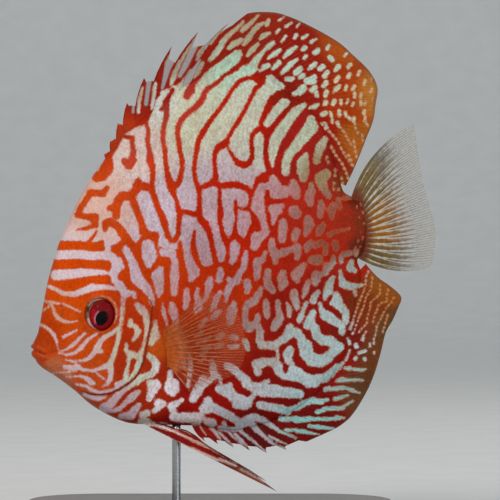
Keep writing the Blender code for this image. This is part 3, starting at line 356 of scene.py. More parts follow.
# Each stroke is its width at both ends, then its points. Later groups are laid over earlier ones.
markings = {
    "nape lines": ("warm", (
        (8, 13, 109, 160, 107, 168), (13, 10, 107, 168, 103, 175, 97, 177), (7, 7, 90, 193, 103, 193.5),
        (7, 5, 103, 193.5, 107, 188), (6, 6, 92, 192, 86, 200, 80, 209, 78, 215), (5, 8, 77, 215, 88, 217, 95, 217),
        (9, 7, 94, 218, 95, 225), (2, 6, 77, 229.8, 87, 228.3, 95, 225), (2.5, 4, 97, 231, 93, 237, 89, 242),
        (8.5, 8, 60, 245, 80, 245, 95, 246.5), (9, 8, 95, 246.5, 101, 245.5), (6, 4, 102, 243, 103.5, 248, 103, 251),
        (6, 9, 105, 229, 105.5, 223.5, 110, 222), (8, 8, 110, 223, 117, 225.5, 122, 232),
        (9, 9, 122, 232, 127, 240, 133, 247), (8, 7, 133, 247, 138, 256, 143, 266), (7, 9, 125, 241, 118, 248, 114, 249.5),
        (9, 8, 118, 248, 120, 255, 124, 263), (8, 7, 124, 263, 126.5, 270), (9, 10, 122, 275, 126, 274),
        (8, 8, 116, 216, 116.5, 209, 118, 203), (9, 6, 114, 207.5, 109.5, 208), (9, 9, 118, 201, 122, 196, 130, 196),
        (9, 9, 130, 196, 136, 190, 138, 184), (8, 6, 137, 185, 138.5, 180.5), (9, 8, 138, 186, 145, 187, 151, 187),
        (8, 7, 132, 198, 135, 206, 138, 214), (7, 7, 138, 214, 141, 222, 143, 229), (9, 9, 143, 231, 149, 236, 155, 236),
    )),
    "shoulder lines": ("warm", (
        (4, 5, 124, 136.5, 132, 138), (5, 5, 132, 138, 132.5, 146, 133.5, 152), (7, 10, 124.5, 161, 129, 164.5),
        (10, 8, 129, 164.5, 133, 160), (6, 8, 133.5, 152, 132, 160), (4, 4.5, 146.5, 124, 148.5, 131, 147.5, 139),
        (5, 5, 147.5, 139, 148.5, 147, 150, 154), (6.5, 8, 150, 154, 150, 160), (8, 5, 150, 160, 152.5, 167, 153, 174),
        (5, 6, 153, 174, 152.5, 181, 151, 187), (7, 6, 151, 188, 154.5, 198, 157.5, 207),
        (6, 8, 157.5, 207, 162.5, 217, 164.5, 224), (6, 5, 164.5, 224, 166, 230, 168, 236), (6, 4, 168, 236, 171, 241, 175, 240),
        (5, 6, 172.5, 90, 169, 96, 166, 102), (7, 6, 166, 102, 166.5, 109, 166.5, 115), (5, 4, 163, 108, 161, 109.5),
        (6, 5, 166.5, 115, 164.5, 124, 163, 132), (5, 5, 163, 132, 163, 142, 165, 151), (5, 5, 165, 151, 165.5, 160, 166.5, 168),
        (5, 9, 166.5, 168, 168.5, 178, 171, 186), (9, 7, 171, 186, 173, 192), (6, 4, 173, 192, 175, 197, 177, 202),
        (4, 7, 177, 202, 178, 208, 180, 213), (6, 5, 180, 213, 179, 220, 178.5, 228), (5, 6, 178.5, 228, 178, 235, 175, 240),
        (6, 5, 180, 212, 187, 212), (5, 7, 187, 212, 193, 214, 199, 214), (7, 6, 192, 90, 187, 97),
        (5.5, 5, 201, 100, 195.5, 106.5, 188.5, 112.5), (6, 5.5, 188.5, 112.5, 181.5, 119.5, 178, 127),
        (6, 5, 178, 127, 177.5, 134, 179, 143), (5, 5, 179, 143, 180, 151, 182, 160), (5.5, 5, 182, 160, 182, 169, 180.5, 177),
        (5.5, 7, 180.5, 177, 178, 184, 172.5, 187), (4, 4.5, 180, 243, 180.5, 250), (4.5, 6, 180.5, 250, 181.5, 258, 182, 268),
        (3, 3, 160, 248, 160, 257),
    )),
    "back lines": ("warm", (
        (4, 5, 222, 79, 214, 84.5, 208, 88.5), (5, 6, 208, 88.5, 204.5, 93, 203, 98), (6, 6, 203, 98, 199.5, 104, 194, 109),
        (5, 4.5, 247, 78, 240, 81, 236, 85), (4.5, 4.5, 236, 85, 232, 90, 226, 100), (4.5, 5, 226, 100, 219, 110, 211, 120),
        (5, 6, 211, 120, 204.5, 130), (6, 5.5, 204.5, 130, 198.5, 140, 196.7, 150), (5, 4.5, 196.7, 150, 195, 160, 194, 170),
        (4.5, 5, 194, 170, 195.5, 180, 198, 187), (6, 4.5, 198, 187, 199.5, 193, 199.5, 200),
        (4.5, 7, 199.5, 200, 199.5, 207, 199, 214), (7, 8, 199, 214, 201, 220, 205, 224), (8, 6, 205, 224, 208, 229, 210, 235),
        (6, 5.5, 210, 235, 211.5, 242, 213, 250), (5.5, 6, 213, 250, 214.5, 257, 216, 263), (6, 5, 216, 263, 214, 268),
        (3.5, 5.5, 222, 77, 229, 73, 236, 68), (5.5, 4, 236, 68, 241, 64, 243, 58), (5, 5, 241, 63, 248, 62, 253, 59),
        (4, 5, 264, 82, 256, 88), (5, 4, 256, 88, 250, 100), (4, 5, 250, 100, 245, 110, 239, 120),
        (5, 4.5, 239, 120, 232.5, 130, 227, 140), (8, 7, 226, 143, 220, 147), (6.5, 4.5, 218, 147, 215, 153, 214.5, 160),
        (4.5, 4.5, 214.5, 160, 215.2, 170), (4.5, 8, 215.2, 170, 215.5, 177, 214, 182), (5, 7, 200, 188, 205, 186, 212, 183),
        (7, 6.5, 215, 183, 221, 186, 229, 185), (6.5, 7.5, 229, 185, 237, 184.5), (7, 6, 237, 185, 243, 187, 249, 190),
        (6, 8, 249, 190, 253, 186, 258, 181), (8, 6, 258, 180.5, 264, 175), (2.5, 3, 227, 146, 230, 152),
        (3.5, 6, 231, 153, 234, 158, 238, 163), (6.5, 7.5, 238, 163, 244, 165), (7, 5, 244, 165, 249, 163.5, 252, 158),
        (4.8, 4.2, 252, 158, 252, 150, 251.5, 142), (4.2, 6, 251.5, 142, 252, 135, 256, 131), (6, 4.5, 256, 131, 261, 128, 261, 122),
        (4, 4, 261, 122, 262.5, 117, 266, 109), (4.5, 5, 266, 109, 268.5, 103, 272, 97), (5, 4, 262, 130, 266, 134, 265.5, 141),
        (4, 3.5, 265.5, 141, 265.2, 149, 264.7, 156), (3.5, 5, 264.7, 156, 266, 163, 269, 170),
    )),
    "flank lines": ("warm", (
        (4, 4, 219, 187, 220, 194, 219.5, 200), (4.5, 7, 219.5, 200, 220.5, 209, 220.5, 215), (6, 4.5, 220.5, 216, 219.8, 221, 221, 227),
        (4.5, 7, 221, 227, 222.5, 233, 225, 239), (7, 4, 225, 239, 227, 244, 228, 250), (3.5, 4, 228, 250, 227.5, 257),
        (4.5, 6, 227.5, 257, 227, 262, 222, 265), (5.5, 6, 222, 265, 216, 266), (7, 4.5, 250.5, 191, 251, 198),
        (4.5, 3, 251, 198, 249.5, 205, 247.5, 209), (3, 3, 248, 209, 243, 209, 238, 208), (3, 5, 235.5, 201, 236, 207),
        (5, 2.5, 236, 208, 236, 214, 236.5, 220), (2.5, 6, 236, 220, 235, 227, 235, 234), (6, 8, 235, 234, 239, 239, 244, 243),
        (8, 6, 244, 243, 248, 240, 250, 233), (6, 7, 250, 233, 252, 228, 255, 223), (6, 6, 235, 234, 231, 239, 227, 242),
        (3.5, 5, 248, 209, 252, 213, 253.5, 219), (5, 8, 253.5, 219, 256, 224, 260, 226), (6, 4, 243, 245, 242.5, 250, 240.5, 256),
        (4, 5, 240, 256, 239, 261, 235, 266), (5, 4.5, 235, 266, 231, 268, 227, 264), (4, 6, 249, 241, 250, 247, 252, 252),
        (4, 5, 251, 254, 250.5, 268), (3, 6, 194.5, 231, 193.5, 238, 193, 245), (6, 6, 193, 245, 195, 253, 197, 259),
        (6, 5, 197, 259, 200, 265, 203, 268), (5, 5, 203, 268, 210, 268, 215, 266),
    )),
    "head bands": ("pale", (
        (9.5, 9, 57, 255, 70, 254.6, 82, 254.6), (9, 8.5, 82, 254.6, 92, 255.8, 104, 255.6), (11, 9, 56, 275, 64, 274.6, 80, 273),
        (9, 4.5, 80, 273, 93, 272.2, 105, 272.6), (3, 3, 104, 273, 111, 273.5), (4, 5.5, 49, 286.5, 57, 290, 64, 293.8, 74, 294.3),
        (5.5, 7.5, 74, 294.3, 82, 291.5, 92, 287.6), (7.5, 2.5, 92, 287.6, 104, 287.2, 112, 288, 121, 290),
        (8, 8, 103, 255.6, 112, 257, 117.5, 262.5), (12, 8, 117, 263, 117, 267, 113.5, 273), (7, 6, 113.5, 273, 114.5, 280, 119, 285),
        (8, 8, 119, 284.5, 122.5, 289, 125, 294), (5, 4, 119, 265, 122.5, 267), (6, 6, 107, 240, 108, 250, 108, 256),
        (7, 6, 124, 293, 128, 294), (4, 4, 128, 292.5, 134, 293, 134.5, 297), (9, 2, 73, 224.5, 81, 223.5, 90, 223.5),
        (9, 8, 70, 236, 80, 236), (8, 3, 80, 236, 88, 233, 95, 229.5), (5, 4.4, 123.4, 296, 123, 303, 122.8, 312),
        (4, 4, 122.5, 312, 121.5, 321, 119.5, 330), (5, 4, 119.5, 330, 118, 340, 115.5, 350), (4.5, 6, 115.5, 350, 112.5, 358, 109.5, 365),
        (6.5, 5, 110, 365, 111, 373, 110, 380), (4.5, 1.8, 110, 380, 107, 384, 102.5, 386),
    )),
    "eye ring": ("pale", (
        (1.2, 1.6, 87.6, 306, 91, 301, 96.4, 297.8, 103, 296.7), (1.6, 1.6, 103, 296.7, 109.4, 298.2, 114, 302.2, 116.4, 308.6),
        (1.6, 1.0, 116.4, 308.6, 116.8, 316, 115, 323),
    )),
    "cheek bands": ("pale", (
        (3, 2, 44, 301, 55, 302.6, 66, 305, 74, 309, 80, 311.5), (2.5, 2, 52, 304, 47, 308, 42, 311), (3, 4.5, 52.5, 306, 54.5, 313, 58, 318),
        (4.5, 1.5, 58, 318, 64, 321.5, 71, 322.3, 77, 321), (3, 3.5, 39, 324.5, 45, 326.5, 50, 330.5, 54, 335),
        (3.5, 1.2, 54, 335, 56.5, 341, 58, 349), (3.6, 2, 63.5, 337, 69, 334, 77, 330.3), (1.5, 4, 59, 352, 67, 349.2, 74, 344.4),
        (4, 2.6, 74, 344.4, 79, 338.8, 85, 333.4), (2, 4.6, 59, 353, 67, 355, 75, 352.8, 81, 348),
        (4.8, 2.4, 81, 348, 87, 340.6, 92, 336.6, 97, 333.8), (2, 2.5, 66, 360, 75, 361.5, 84, 360.5),
        (3.5, 6.5, 84, 360.5, 90, 357.5, 95, 351.5, 97.5, 347.5), (6.5, 4.6, 97.5, 347.5, 100.5, 341, 105, 336.8),
        (4.6, 4, 105, 336.8, 112, 333, 118, 328.5), (4, 4, 99, 351, 101.5, 351.5), (5, 6.5, 65, 367, 72, 368.3, 78, 367),
        (4, 3.2, 78, 367.5, 84, 370, 92, 370.6), (3.2, 5, 92, 370.6, 100, 368.6, 107, 365.5), (2.5, 1.5, 78, 366, 74, 362.5, 70, 361),
        (2.2, 1.6, 96, 371.5, 99, 375.5, 105, 379.5), (4, 4, 118, 386, 115, 389.6, 108, 391.4, 100, 392.6),
        (3.6, 3, 100, 392.6, 93, 390.5, 86, 386, 76, 384.2), (2.5, 6, 80, 376.2, 86, 378, 91, 382), (5, 2.5, 91, 382, 94.5, 383.5),
        (2.2, 2.2, 66, 377, 73, 376.6, 80, 376.4), (1.5, 1.5, 52, 373, 64, 372.6, 76, 370.8),
    )),
    "gill cover bands": ("pale", (
        (3.5, 5, 126.5, 344.5, 126, 350, 129, 353), (5, 3.5, 129, 353, 129.5, 357, 128, 361.5), (3, 5, 129, 363, 127, 369, 126, 376),
        (5, 7, 126, 376, 125, 381, 118, 385), (5, 8, 137, 304.5, 140.5, 308.5), (8, 6.5, 140.5, 308.5, 145.5, 314, 147, 322),
        (6, 3, 147, 322, 147, 329, 145.4, 336), (2.6, 4, 145.4, 336, 144.4, 343, 141.6, 352), (5, 7, 141, 352, 139, 357, 132, 354),
        (7, 6, 139, 357, 140, 361, 138, 366), (6, 4, 138, 366, 136, 371, 133, 376), (4, 3, 133, 376, 129, 380, 125, 381),
        (4.5, 5, 130.5, 320.5, 130, 325.5), (4, 6, 131, 324, 135, 326.5, 138, 331), (6, 3.5, 138, 331, 136.5, 335.5, 133.2, 340),
    )),
    "throat bands": ("pale", (
        (4, 5, 84, 394.5, 91, 397.5, 98, 398.5), (5, 3, 98, 398.5, 105, 397), (9, 8, 103, 408, 109, 405.5, 114, 400),
        (7.5, 6, 114, 400, 119, 394, 125, 388.6, 131, 384.5), (3.5, 6, 114, 410.4, 121, 407.6, 126, 402, 131, 398.6),
        (8, 5, 131, 398, 134, 395.5, 138, 392), (4, 3, 104, 411, 114, 411.2, 120, 409.4), (5, 9, 120, 416.5, 131, 415.5),
        (8, 8, 131, 415, 134, 411), (8, 5, 134, 411, 139, 405), (8, 7, 143, 415, 147, 413), (4.5, 6, 130, 386, 136, 382),
        (7, 7, 136, 382, 141, 378), (7, 6, 141, 378, 147, 375.5), (6, 7, 147, 375.5, 153, 373), (8, 7, 155, 370, 156.5, 364),
        (8, 6, 156, 364, 153, 359, 149, 356), (7, 12, 150, 383, 155, 385), (12, 10, 154, 386, 152.5, 390),
        (9, 6, 152, 391, 149, 399), (8, 8, 158, 403, 162, 404), (8, 5, 160, 404, 157, 409, 154, 411), (7, 8, 141, 422, 148, 423),
    )),
    # Thin lines of the warm ground colour along the gill slit and the cheek's front crease: painted shade in those
    # grooves
    "gill slit shade lines": ("warm", (
        (1.6, 2.0, 150.4, 326, 147.8, 340, 146, 350, 144, 360), (2.0, 2.4, 144, 360, 140, 370.6, 135, 378, 128, 384),
        (2.4, 1.8, 128, 384, 120, 389, 111, 393, 100, 395, 88, 394), (0.5, 0.5, 123.2, 297, 123.4, 312, 122.3, 322, 120.2, 331),
    )),
    "shoulder cells": ("pale", (
        (5, 7, 125.5, 247.5, 128.5, 254), (7, 8, 126, 251, 130, 258, 133, 264), (9, 12, 133, 264, 135, 271, 137, 278),
        (12, 9, 137, 278, 142, 284, 147, 289), (8, 5, 147, 289, 151, 296, 152.5, 304), (13, 15, 148, 246, 149.5, 256),
        (14, 8, 149.5, 256, 148.5, 264), (3, 9, 155.5, 321, 155, 330, 155, 336), (9, 7, 155, 336, 151.5, 342.5),
        (1.5, 4, 162.5, 303.5, 163.5, 311), (4, 1.5, 163.5, 311, 166, 320, 169, 333), (5, 9, 172, 304, 173, 311),
        (9, 4, 173, 311, 175.5, 320, 175.5, 328), (6, 11, 160.5, 269, 157.5, 276), (12, 8, 157.5, 276, 159, 284, 159.5, 291),
        (6, 3, 159.5, 291, 158.5, 296), (8, 8, 163, 252, 172, 253), (7, 6, 172, 253, 175, 262), (6.5, 9, 175, 262, 174.5, 275),
        (9, 7, 174.5, 275, 174.3, 286, 174, 293), (6, 7, 186.5, 250, 188, 258), (8, 12, 188, 258, 191, 266, 194, 272),
        (11, 6, 194, 272, 191, 279), (6, 7, 186.5, 291, 186.5, 299), (7, 5, 186.5, 299, 185.5, 308),
        (4, 5, 197.5, 289, 196.5, 296), (6, 8, 197, 297, 199, 303), (8, 8, 199, 304, 198, 309), (6, 3, 198, 309, 196, 313),
        (3, 4, 208, 296, 203, 301), (5, 6, 220, 293, 216, 299), (6, 6, 216, 300, 214, 306), (3, 3, 214, 306, 211, 310),
        (4, 6, 220, 311, 216, 314), (6, 5, 216, 315, 213, 318), (5, 4, 206, 320, 203, 323), (4, 3, 203, 324, 199, 328),
    )),
    "middle cells": ("pale", (
        (8, 9, 203, 250, 204, 257), (9, 9, 204, 258, 206, 262), (4, 6, 246, 252, 245, 259), (6, 6, 245, 260, 244, 266),
        (6, 5, 244, 266, 242, 270), (5, 5, 242, 270, 239, 274), (5, 8, 239, 274, 237.5, 279), (8, 6, 236, 281, 231, 284),
        (6, 7, 231, 284, 229, 288), (7, 6, 229, 288, 227, 293), (6, 3, 227, 293, 226.5, 297, 226, 301), (5, 4, 231, 281, 228, 279),
        (3.5, 5, 265.5, 252, 263, 259), (5, 7, 263, 260, 258, 261), (8, 8, 257, 262, 257.5, 268), (7, 6, 257.5, 268, 257, 276),
        (5, 4, 257, 276, 256, 279), (5, 7, 220.5, 269, 220.5, 274), (7, 7, 220, 275, 219, 280), (6, 8, 210, 279, 209, 284),
        (8, 6, 209, 285, 208, 291), (5, 3, 208, 291, 206, 295), (6, 9, 234, 304, 233, 309), (10, 10, 232, 311, 231, 316),
        (9, 7, 231, 317, 230, 322), (7, 7, 247, 282, 247.5, 286), (7, 5, 248, 287, 247, 292), (4, 6, 261, 288, 259, 294),
        (7, 7, 258, 295, 255, 300), (8, 8, 254, 301, 249, 304), (7, 6, 248, 305, 245.5, 309), (6, 5, 245.5, 310, 245, 316),
        (5, 7, 245, 316, 245.5, 322), (8, 9, 246, 324, 249, 328), (8, 7, 249, 327, 256, 324), (7, 6, 256, 324, 258, 318),
        (5, 4, 258, 319, 257.5, 315), (6, 7, 258, 326, 260, 331), (7, 7, 260, 332, 260, 338), (7, 7, 268, 272, 267, 278),
        (7, 8, 267, 279, 268, 285), (8, 6, 269, 286, 273, 291), (7, 9, 283, 273, 282, 278), (9, 9, 282, 279, 284, 283),
        (8, 6, 283, 284, 281, 288), (6, 7, 266, 302, 266.5, 308), (7, 6, 266.5, 309, 267, 316), (5, 5, 278, 302, 278, 308),
        (5, 7, 278.5, 309, 280, 316), (8, 9, 280, 318, 277, 323), (9, 7, 276, 324, 274, 328), (3, 5, 287, 303, 289, 309),
        (5, 4, 289.5, 309, 289, 316),
    )),
    "rear cells": ("pale", (
        (8, 3, 252, 176, 251.5, 183, 251, 187), (8, 9, 262, 187, 260, 192), (9, 11, 260, 192, 258, 200), (11, 13, 258, 200, 258, 207),
        (13, 9, 258, 207, 261, 214), (8, 6, 261, 214, 263, 220, 264.5, 226), (6, 8, 264.5, 226, 265.5, 232), (8, 12, 263, 235, 257, 238),
        (12, 9, 257, 238, 256, 243, 254.5, 246), (5, 8, 262, 187, 269, 186), (8, 12, 273, 179, 275, 186), (12, 12, 275, 186, 277, 191, 284, 192),
        (10, 11, 275, 194, 280, 193), (6, 12, 293, 182, 294, 189), (12, 9, 294, 190, 296, 195), (6, 7, 283, 190, 290, 190),
        (11, 11, 294, 211, 296, 213.5), (4, 8, 283, 206, 276, 208), (8, 9, 272, 209, 278, 210), (9, 3, 275, 211, 274, 218, 273, 224),
        (7, 9, 283, 222, 283, 228), (9, 8, 283, 228, 282.5, 234, 282, 239), (7, 7, 297, 231, 295, 235), (7, 6, 295, 235, 294.5, 239),
        (8, 10, 308, 219, 309, 224), (10, 7, 309, 225, 307.5, 230), (6, 5, 307, 230, 305.5, 234), (5, 7, 323, 225, 321, 229),
        (7, 6, 320, 229, 319, 233), (5, 3, 329, 235, 334, 232), (3, 2, 334, 232, 342, 230.5, 349, 229), (5, 7, 311, 185, 312, 192),
        (8, 9, 310, 193, 309, 198), (8, 6, 309.5, 199, 310.5, 204), (10, 12, 326, 174, 321, 178), (12, 9, 321, 180, 323, 187),
        (8, 6, 323, 187, 326, 192, 329, 196), (5, 7, 321, 202, 321.5, 208), (7, 5, 321, 209, 320, 216), (7, 8, 333, 206, 331.5, 210),
        (7, 4, 331.5, 211, 332, 218), (5, 4, 338, 200, 340, 208), (6, 7, 272, 241, 271.5, 247), (7, 9, 272, 248, 275, 254),
        (9, 5, 275, 254, 275.5, 262), (6, 8, 277, 255, 284, 252.5), (8, 5, 284, 252, 291, 249.5), (5, 8, 291, 249.5, 297, 247),
        (8, 5, 297, 248, 298, 253, 297, 258), (5, 7, 311, 242, 308, 246), (7, 5, 308, 246, 307, 250), (5, 6, 322, 242, 318, 244),
        (6, 5, 318, 244, 315, 246), (5, 4, 326, 245, 325, 254), (6, 6, 335, 243, 336, 248), (8, 10, 312, 260, 318, 260),
        (4, 6, 333.5, 257, 333, 262), (6, 7, 333, 263, 330, 266, 327, 268), (5, 4, 341, 258, 341.5, 262), (5, 6, 342, 255, 349, 253),
        (5, 4, 356, 251, 356, 255), (5, 8, 304, 265, 300, 270), (10, 10, 299, 272, 296, 275), (8, 6, 296, 276, 297, 280),
        (9, 9, 316, 275, 316, 279), (8, 6, 316, 280, 315, 283), (4, 5, 320, 275, 325, 273), (6, 8, 326, 272, 327, 267),
        (5, 6, 308, 282, 306, 288), (6, 5, 306, 289, 305, 293), (4, 3, 305, 293, 303, 297), (8, 8, 294, 293, 294, 297),
        (8, 7, 294, 298, 296, 303), (7, 5, 296.5, 304, 297, 308), (5, 6, 318, 292, 315, 296), (6, 7, 314, 297, 313, 301),
        (4, 4, 306, 303, 304, 309), (4, 5, 303.5, 310, 301.5, 315), (6, 6, 301, 316, 299.5, 320), (4, 7, 333, 277, 330, 283),
        (8, 9, 329.5, 284, 328, 291), (7, 5, 327, 292, 325, 298), (4, 3, 344, 198, 350, 198),
    )),
    "back strips": ("pale", (
        (6, 9, 287, 102, 284, 103), (9, 9, 284, 103, 277, 110), (9, 8, 277, 110, 271, 118), (8, 7, 271, 118, 267, 124),
        (5, 9, 304, 105, 295, 112), (9, 11, 295, 112, 288, 121, 281, 131), (11, 11, 281, 131, 275, 141), (11, 9, 275, 141, 273, 151),
        (9, 2, 273, 151, 272, 160, 272.5, 167), (8, 14, 311, 119, 311, 127), (14, 12, 311, 127, 304, 136), (12, 10, 304, 136, 296, 146),
        (10, 8, 296, 146, 289, 154, 286.5, 162), (8, 8, 286, 163, 285.5, 172), (5, 11, 306, 155, 303, 163), (12, 12, 303, 163, 303, 171),
        (12, 8, 303, 171, 303.5, 178), (6, 9, 325, 139, 321, 146), (9, 7, 321, 146, 318, 154, 316.5, 161), (4, 7, 294, 94, 300, 91.5),
        (7, 8, 300, 91.5, 303, 88), (7, 6, 307, 81, 314, 81),
    )),
    "belly bands": ("pale", (
        (5, 6, 170.5, 372, 170, 378), (7, 12, 170, 380, 173, 384), (14, 15, 172, 385, 172, 388), (13, 6, 172, 390, 173, 394),
        (4, 6, 182, 400, 176, 404), (7, 7, 176, 404, 171, 406), (7, 7, 172, 408, 174, 413), (8, 9, 173, 417, 182, 418),
        (10, 10, 182, 417.5, 200, 417.5), (8, 8, 203, 379, 202, 383), (9, 10, 201, 384, 198, 391), (10, 8, 197, 392, 193, 399),
        (7, 6, 204, 384, 209, 381), (6, 3, 209, 381, 213, 378), (5, 7, 212, 361, 213, 367), (7, 8, 213, 368, 214, 376),
        (5, 3, 218, 376, 221, 380), (4, 4, 183, 345, 184, 368), (4, 5, 190, 355, 191, 370), (5, 3, 190, 370, 188, 387),
        (4, 3, 201, 354, 207, 352), (3, 3, 200, 361, 205, 359), (3, 4, 210, 337, 205, 340), (3, 3, 205, 340, 197, 343),
        (6, 6, 222, 335, 218, 337), (6, 6, 232, 337, 236, 338), (4, 5, 222, 345, 216, 347), (5, 4, 230, 347, 238, 346),
        (4, 4, 210, 346, 203, 348), (3, 3, 202, 332, 196, 336), (9, 12, 208, 401, 208, 406), (10, 9, 204, 409, 214, 408),
        (10, 8, 214, 408, 222, 412), (8, 8, 222, 412, 231, 416.5), (7, 8, 231, 417, 240, 423), (9, 9, 240, 424, 247, 422),
        (9, 8, 247, 420, 254, 417), (7, 6, 254, 417, 263, 420), (6, 4, 263, 420, 270, 425, 277, 429), (8, 8, 208, 422, 213, 423),
        (5, 4, 224, 423.5, 225, 428), (5, 5, 220, 428, 227, 429), (4, 5, 228, 429.5, 240, 429), (8, 12, 219, 389, 226, 391),
        (12, 10, 227, 390, 233, 396), (10, 10, 233, 397, 241, 400), (11, 9, 241, 400, 248, 403), (8, 8, 236, 404.5, 245, 406),
        (6, 5, 250, 400, 254, 395), (5, 6, 230, 384.5, 229, 388), (3, 3, 220, 378, 221, 386), (7, 8, 227, 366, 234, 369),
        (8, 8, 234, 370, 240, 375), (8, 9, 241, 376, 247, 381), (8, 8, 246, 384, 253, 388), (10, 12, 254, 387, 262, 389),
        (13, 13, 262, 390, 275, 391), (12, 10, 275, 391, 290, 393), (10, 9, 290, 393, 300, 394), (5, 4, 264, 383, 268, 381),
        (8, 8, 260, 405, 270, 407), (8, 8, 271, 407, 280, 409), (9, 7, 281, 409, 288, 411.5), (5, 5, 288, 410, 296, 408),
        (5, 7, 296, 408, 303, 404),
    )),
    "labyrinth": ("pale", (
        (7, 8, 259, 340, 262, 345), (8, 8, 262, 345, 272, 345.5), (8, 7, 272, 346, 276, 345), (6, 8, 277, 343, 284, 339),
        (8, 9, 284, 339, 288, 335), (10, 7, 288, 334, 290, 327), (9, 9, 290, 331, 297, 333), (9, 8, 297, 333, 301, 338),
        (8, 8, 301, 338, 302, 344), (8, 13, 302, 345, 306, 349), (13, 13, 306, 346, 306, 352), (13, 12, 307, 354, 311, 358),
        (13, 12, 312, 360, 320, 361), (12, 11, 320, 361, 327, 358), (9, 7, 329, 357, 332, 352), (6, 5, 245, 341, 248, 349),
        (9, 10, 256, 364, 262, 363), (8, 8, 257, 367, 258, 372), (7, 8, 263, 361, 272, 362), (9, 9, 273, 362, 278, 366),
        (10, 8, 277, 366, 279, 372), (7, 6, 279, 372, 284, 377), (3, 3, 277, 350, 278, 358), (8, 10, 290, 350, 288, 354),
        (9, 7, 288, 355, 288.5, 361), (4, 6, 292, 363, 292, 367), (12, 13, 294, 372, 298, 374), (8, 9, 289, 376, 294, 377),
        (12, 12, 299, 376, 308, 380), (13, 11, 309, 381, 315, 382), (9, 9, 316, 379, 325, 378), (8, 8, 325, 378, 331, 373),
        (7, 7, 331, 373, 337, 367), (4, 3, 339, 368, 343, 363), (4, 4, 320, 304, 321, 308), (5, 7, 321, 309, 323, 313),
        (10, 10, 325, 315, 329, 317), (10, 8, 330, 318, 336, 322), (8, 6, 336, 322, 342, 325), (7, 7, 342, 326, 342, 332),
        (7, 11, 336, 295, 337, 300), (5, 10, 332, 303, 337, 303), (10, 8, 337, 303, 342, 308), (8, 7, 342, 308, 346, 313),
        (7, 7, 346, 314, 345.5, 321), (6, 8, 313, 312, 311, 318), (8, 9, 310, 319, 308, 325), (6, 9, 310, 322, 314, 327),
        (9, 9, 315, 329, 317, 335), (9, 9, 317, 336, 322, 340), (10, 10, 322, 340, 330, 341), (10, 10, 330, 341, 336, 346),
        (8, 10, 331, 354, 336, 350), (12, 10, 336, 348, 339, 347),
    )),
    "anal fin streaks": ("fine", (
        (6, 8, 351.5, 262, 350, 267), (8, 5, 350, 268, 355, 271), (4, 5, 340.5, 271, 341, 277),
        (6, 8, 341, 278, 343, 283), (9, 8, 343, 284, 350, 286.5), (8, 4, 350, 286.5, 357, 286, 362, 285),
        (3.5, 3, 353, 322, 350, 329), (4, 4, 363, 338, 363, 340), (3.5, 3, 348, 339, 350, 344),
        (5, 5, 356, 345, 356.5, 347), (3, 2, 370, 344, 370, 347), (3, 3, 346, 360, 350, 350),
        (4, 4, 359, 353, 365, 351), (4.5, 4.5, 355, 359, 356, 358), (4.5, 4.5, 364.5, 359, 364.5, 359.5),
        (3, 3, 374, 352, 374, 353), (4, 5, 345, 368, 350, 368.5), (3.5, 4.5, 352, 369, 362, 370),
        (4, 2, 362, 370, 366, 369), (4, 6, 337, 381, 342, 379.5), (5, 3, 343, 380, 355, 380, 363, 380),
        (5, 5, 325, 389.5, 329, 388), (5, 5, 330, 389, 338, 388.5), (5, 4, 338, 388, 346, 388),
        (4, 5, 346, 388, 353, 390.5), (4, 2, 354, 391, 360, 393), (5, 4, 335, 399, 342, 397.5),
        (4, 3, 342, 397, 348, 395.5), (6, 7, 302, 404, 308, 402), (7, 7, 308, 402, 313, 400),
        (7, 6, 314, 401, 322, 402), (5, 4, 322, 401, 328, 399.5), (5, 5, 317, 412, 324, 410),
        (5, 5, 324, 409, 334, 408), (5, 5, 334, 408.5, 343, 408), (4, 3, 344, 406, 353, 401),
        (6, 6, 281, 419, 296, 419), (7, 6, 296, 420, 310, 419), (5, 4, 310, 419, 325, 419, 340, 418.5),
        (4, 3, 336, 417, 344, 418), (4, 5, 309, 426, 318, 427), (5, 3, 318, 427, 327, 428, 334, 429),
        (4, 4, 286, 430, 296, 430), (5, 5, 297, 431, 306, 432), (4, 2, 306, 432, 319, 434.5),
        (4, 3, 279, 431, 287, 434, 296, 438),
    )),
    "anal fin beads": ("fine", beads(
        2.4, 1.3, 4.2, (368.5, 271, 366.3, 276.3, 365.6, 286.3, 362.5, 293.8, 359.4, 301.3, 356.3, 310, 351.9, 325),
        (372.5, 277, 371.3, 288.8, 366.3, 296.3, 363.8, 306.3, 360.6, 313.8, 358, 320, 355, 328.8, 352.5, 333.8),
        (380, 284, 380, 293.8, 375, 298.8, 370.6, 302.5, 370, 308.8, 366.9, 317.5, 367.5, 322.5, 362.5, 327.5, 358.8, 332.5),
        (388, 289, 386.3, 296.3, 386.9, 301.3, 379.4, 303.8, 377.5, 308.8, 373.8, 317.5, 373, 323),
        (393.8, 297, 391, 303, 386.3, 307.5, 381.9, 316.3, 380.6, 320, 376.9, 325, 376.3, 331.3, 373.8, 340, 374, 346),
        (388, 314, 385, 323.8, 383, 332), (366.3, 331, 362.5, 337.5, 361, 341),
    )),
    "anal fin dots": ("fine", (
        (3.4, 3.4, 356, 345, 356.6, 346), (2.6, 2.6, 370, 345.5, 369, 347), (3.5, 3.5, 348.8, 341, 349.5, 344),
        (4.5, 4.5, 355, 291, 355.2, 295),
    )),
    "anal spine stripes": ("pale", (
        (3, 3, 193, 424, 199, 424), (4, 3, 211, 427, 216, 433), (3.5, 1, 216, 433, 220, 439, 223, 445),
        (1.5, 1, 200, 426, 206, 435), (2, 2.5, 218, 431.5, 225, 438), (2.5, 1, 225, 438, 230, 443, 235, 447),
        (2.5, 2.5, 226, 430, 233, 436), (2.5, 1, 233, 436, 239, 442, 246, 448), (2.5, 3, 235, 434, 241, 440),
        (3, 1, 241, 440, 247, 446, 251, 449), (3, 3, 240, 431, 247, 436, 254, 442), (2.5, 1, 254, 442, 260, 447, 268, 453),
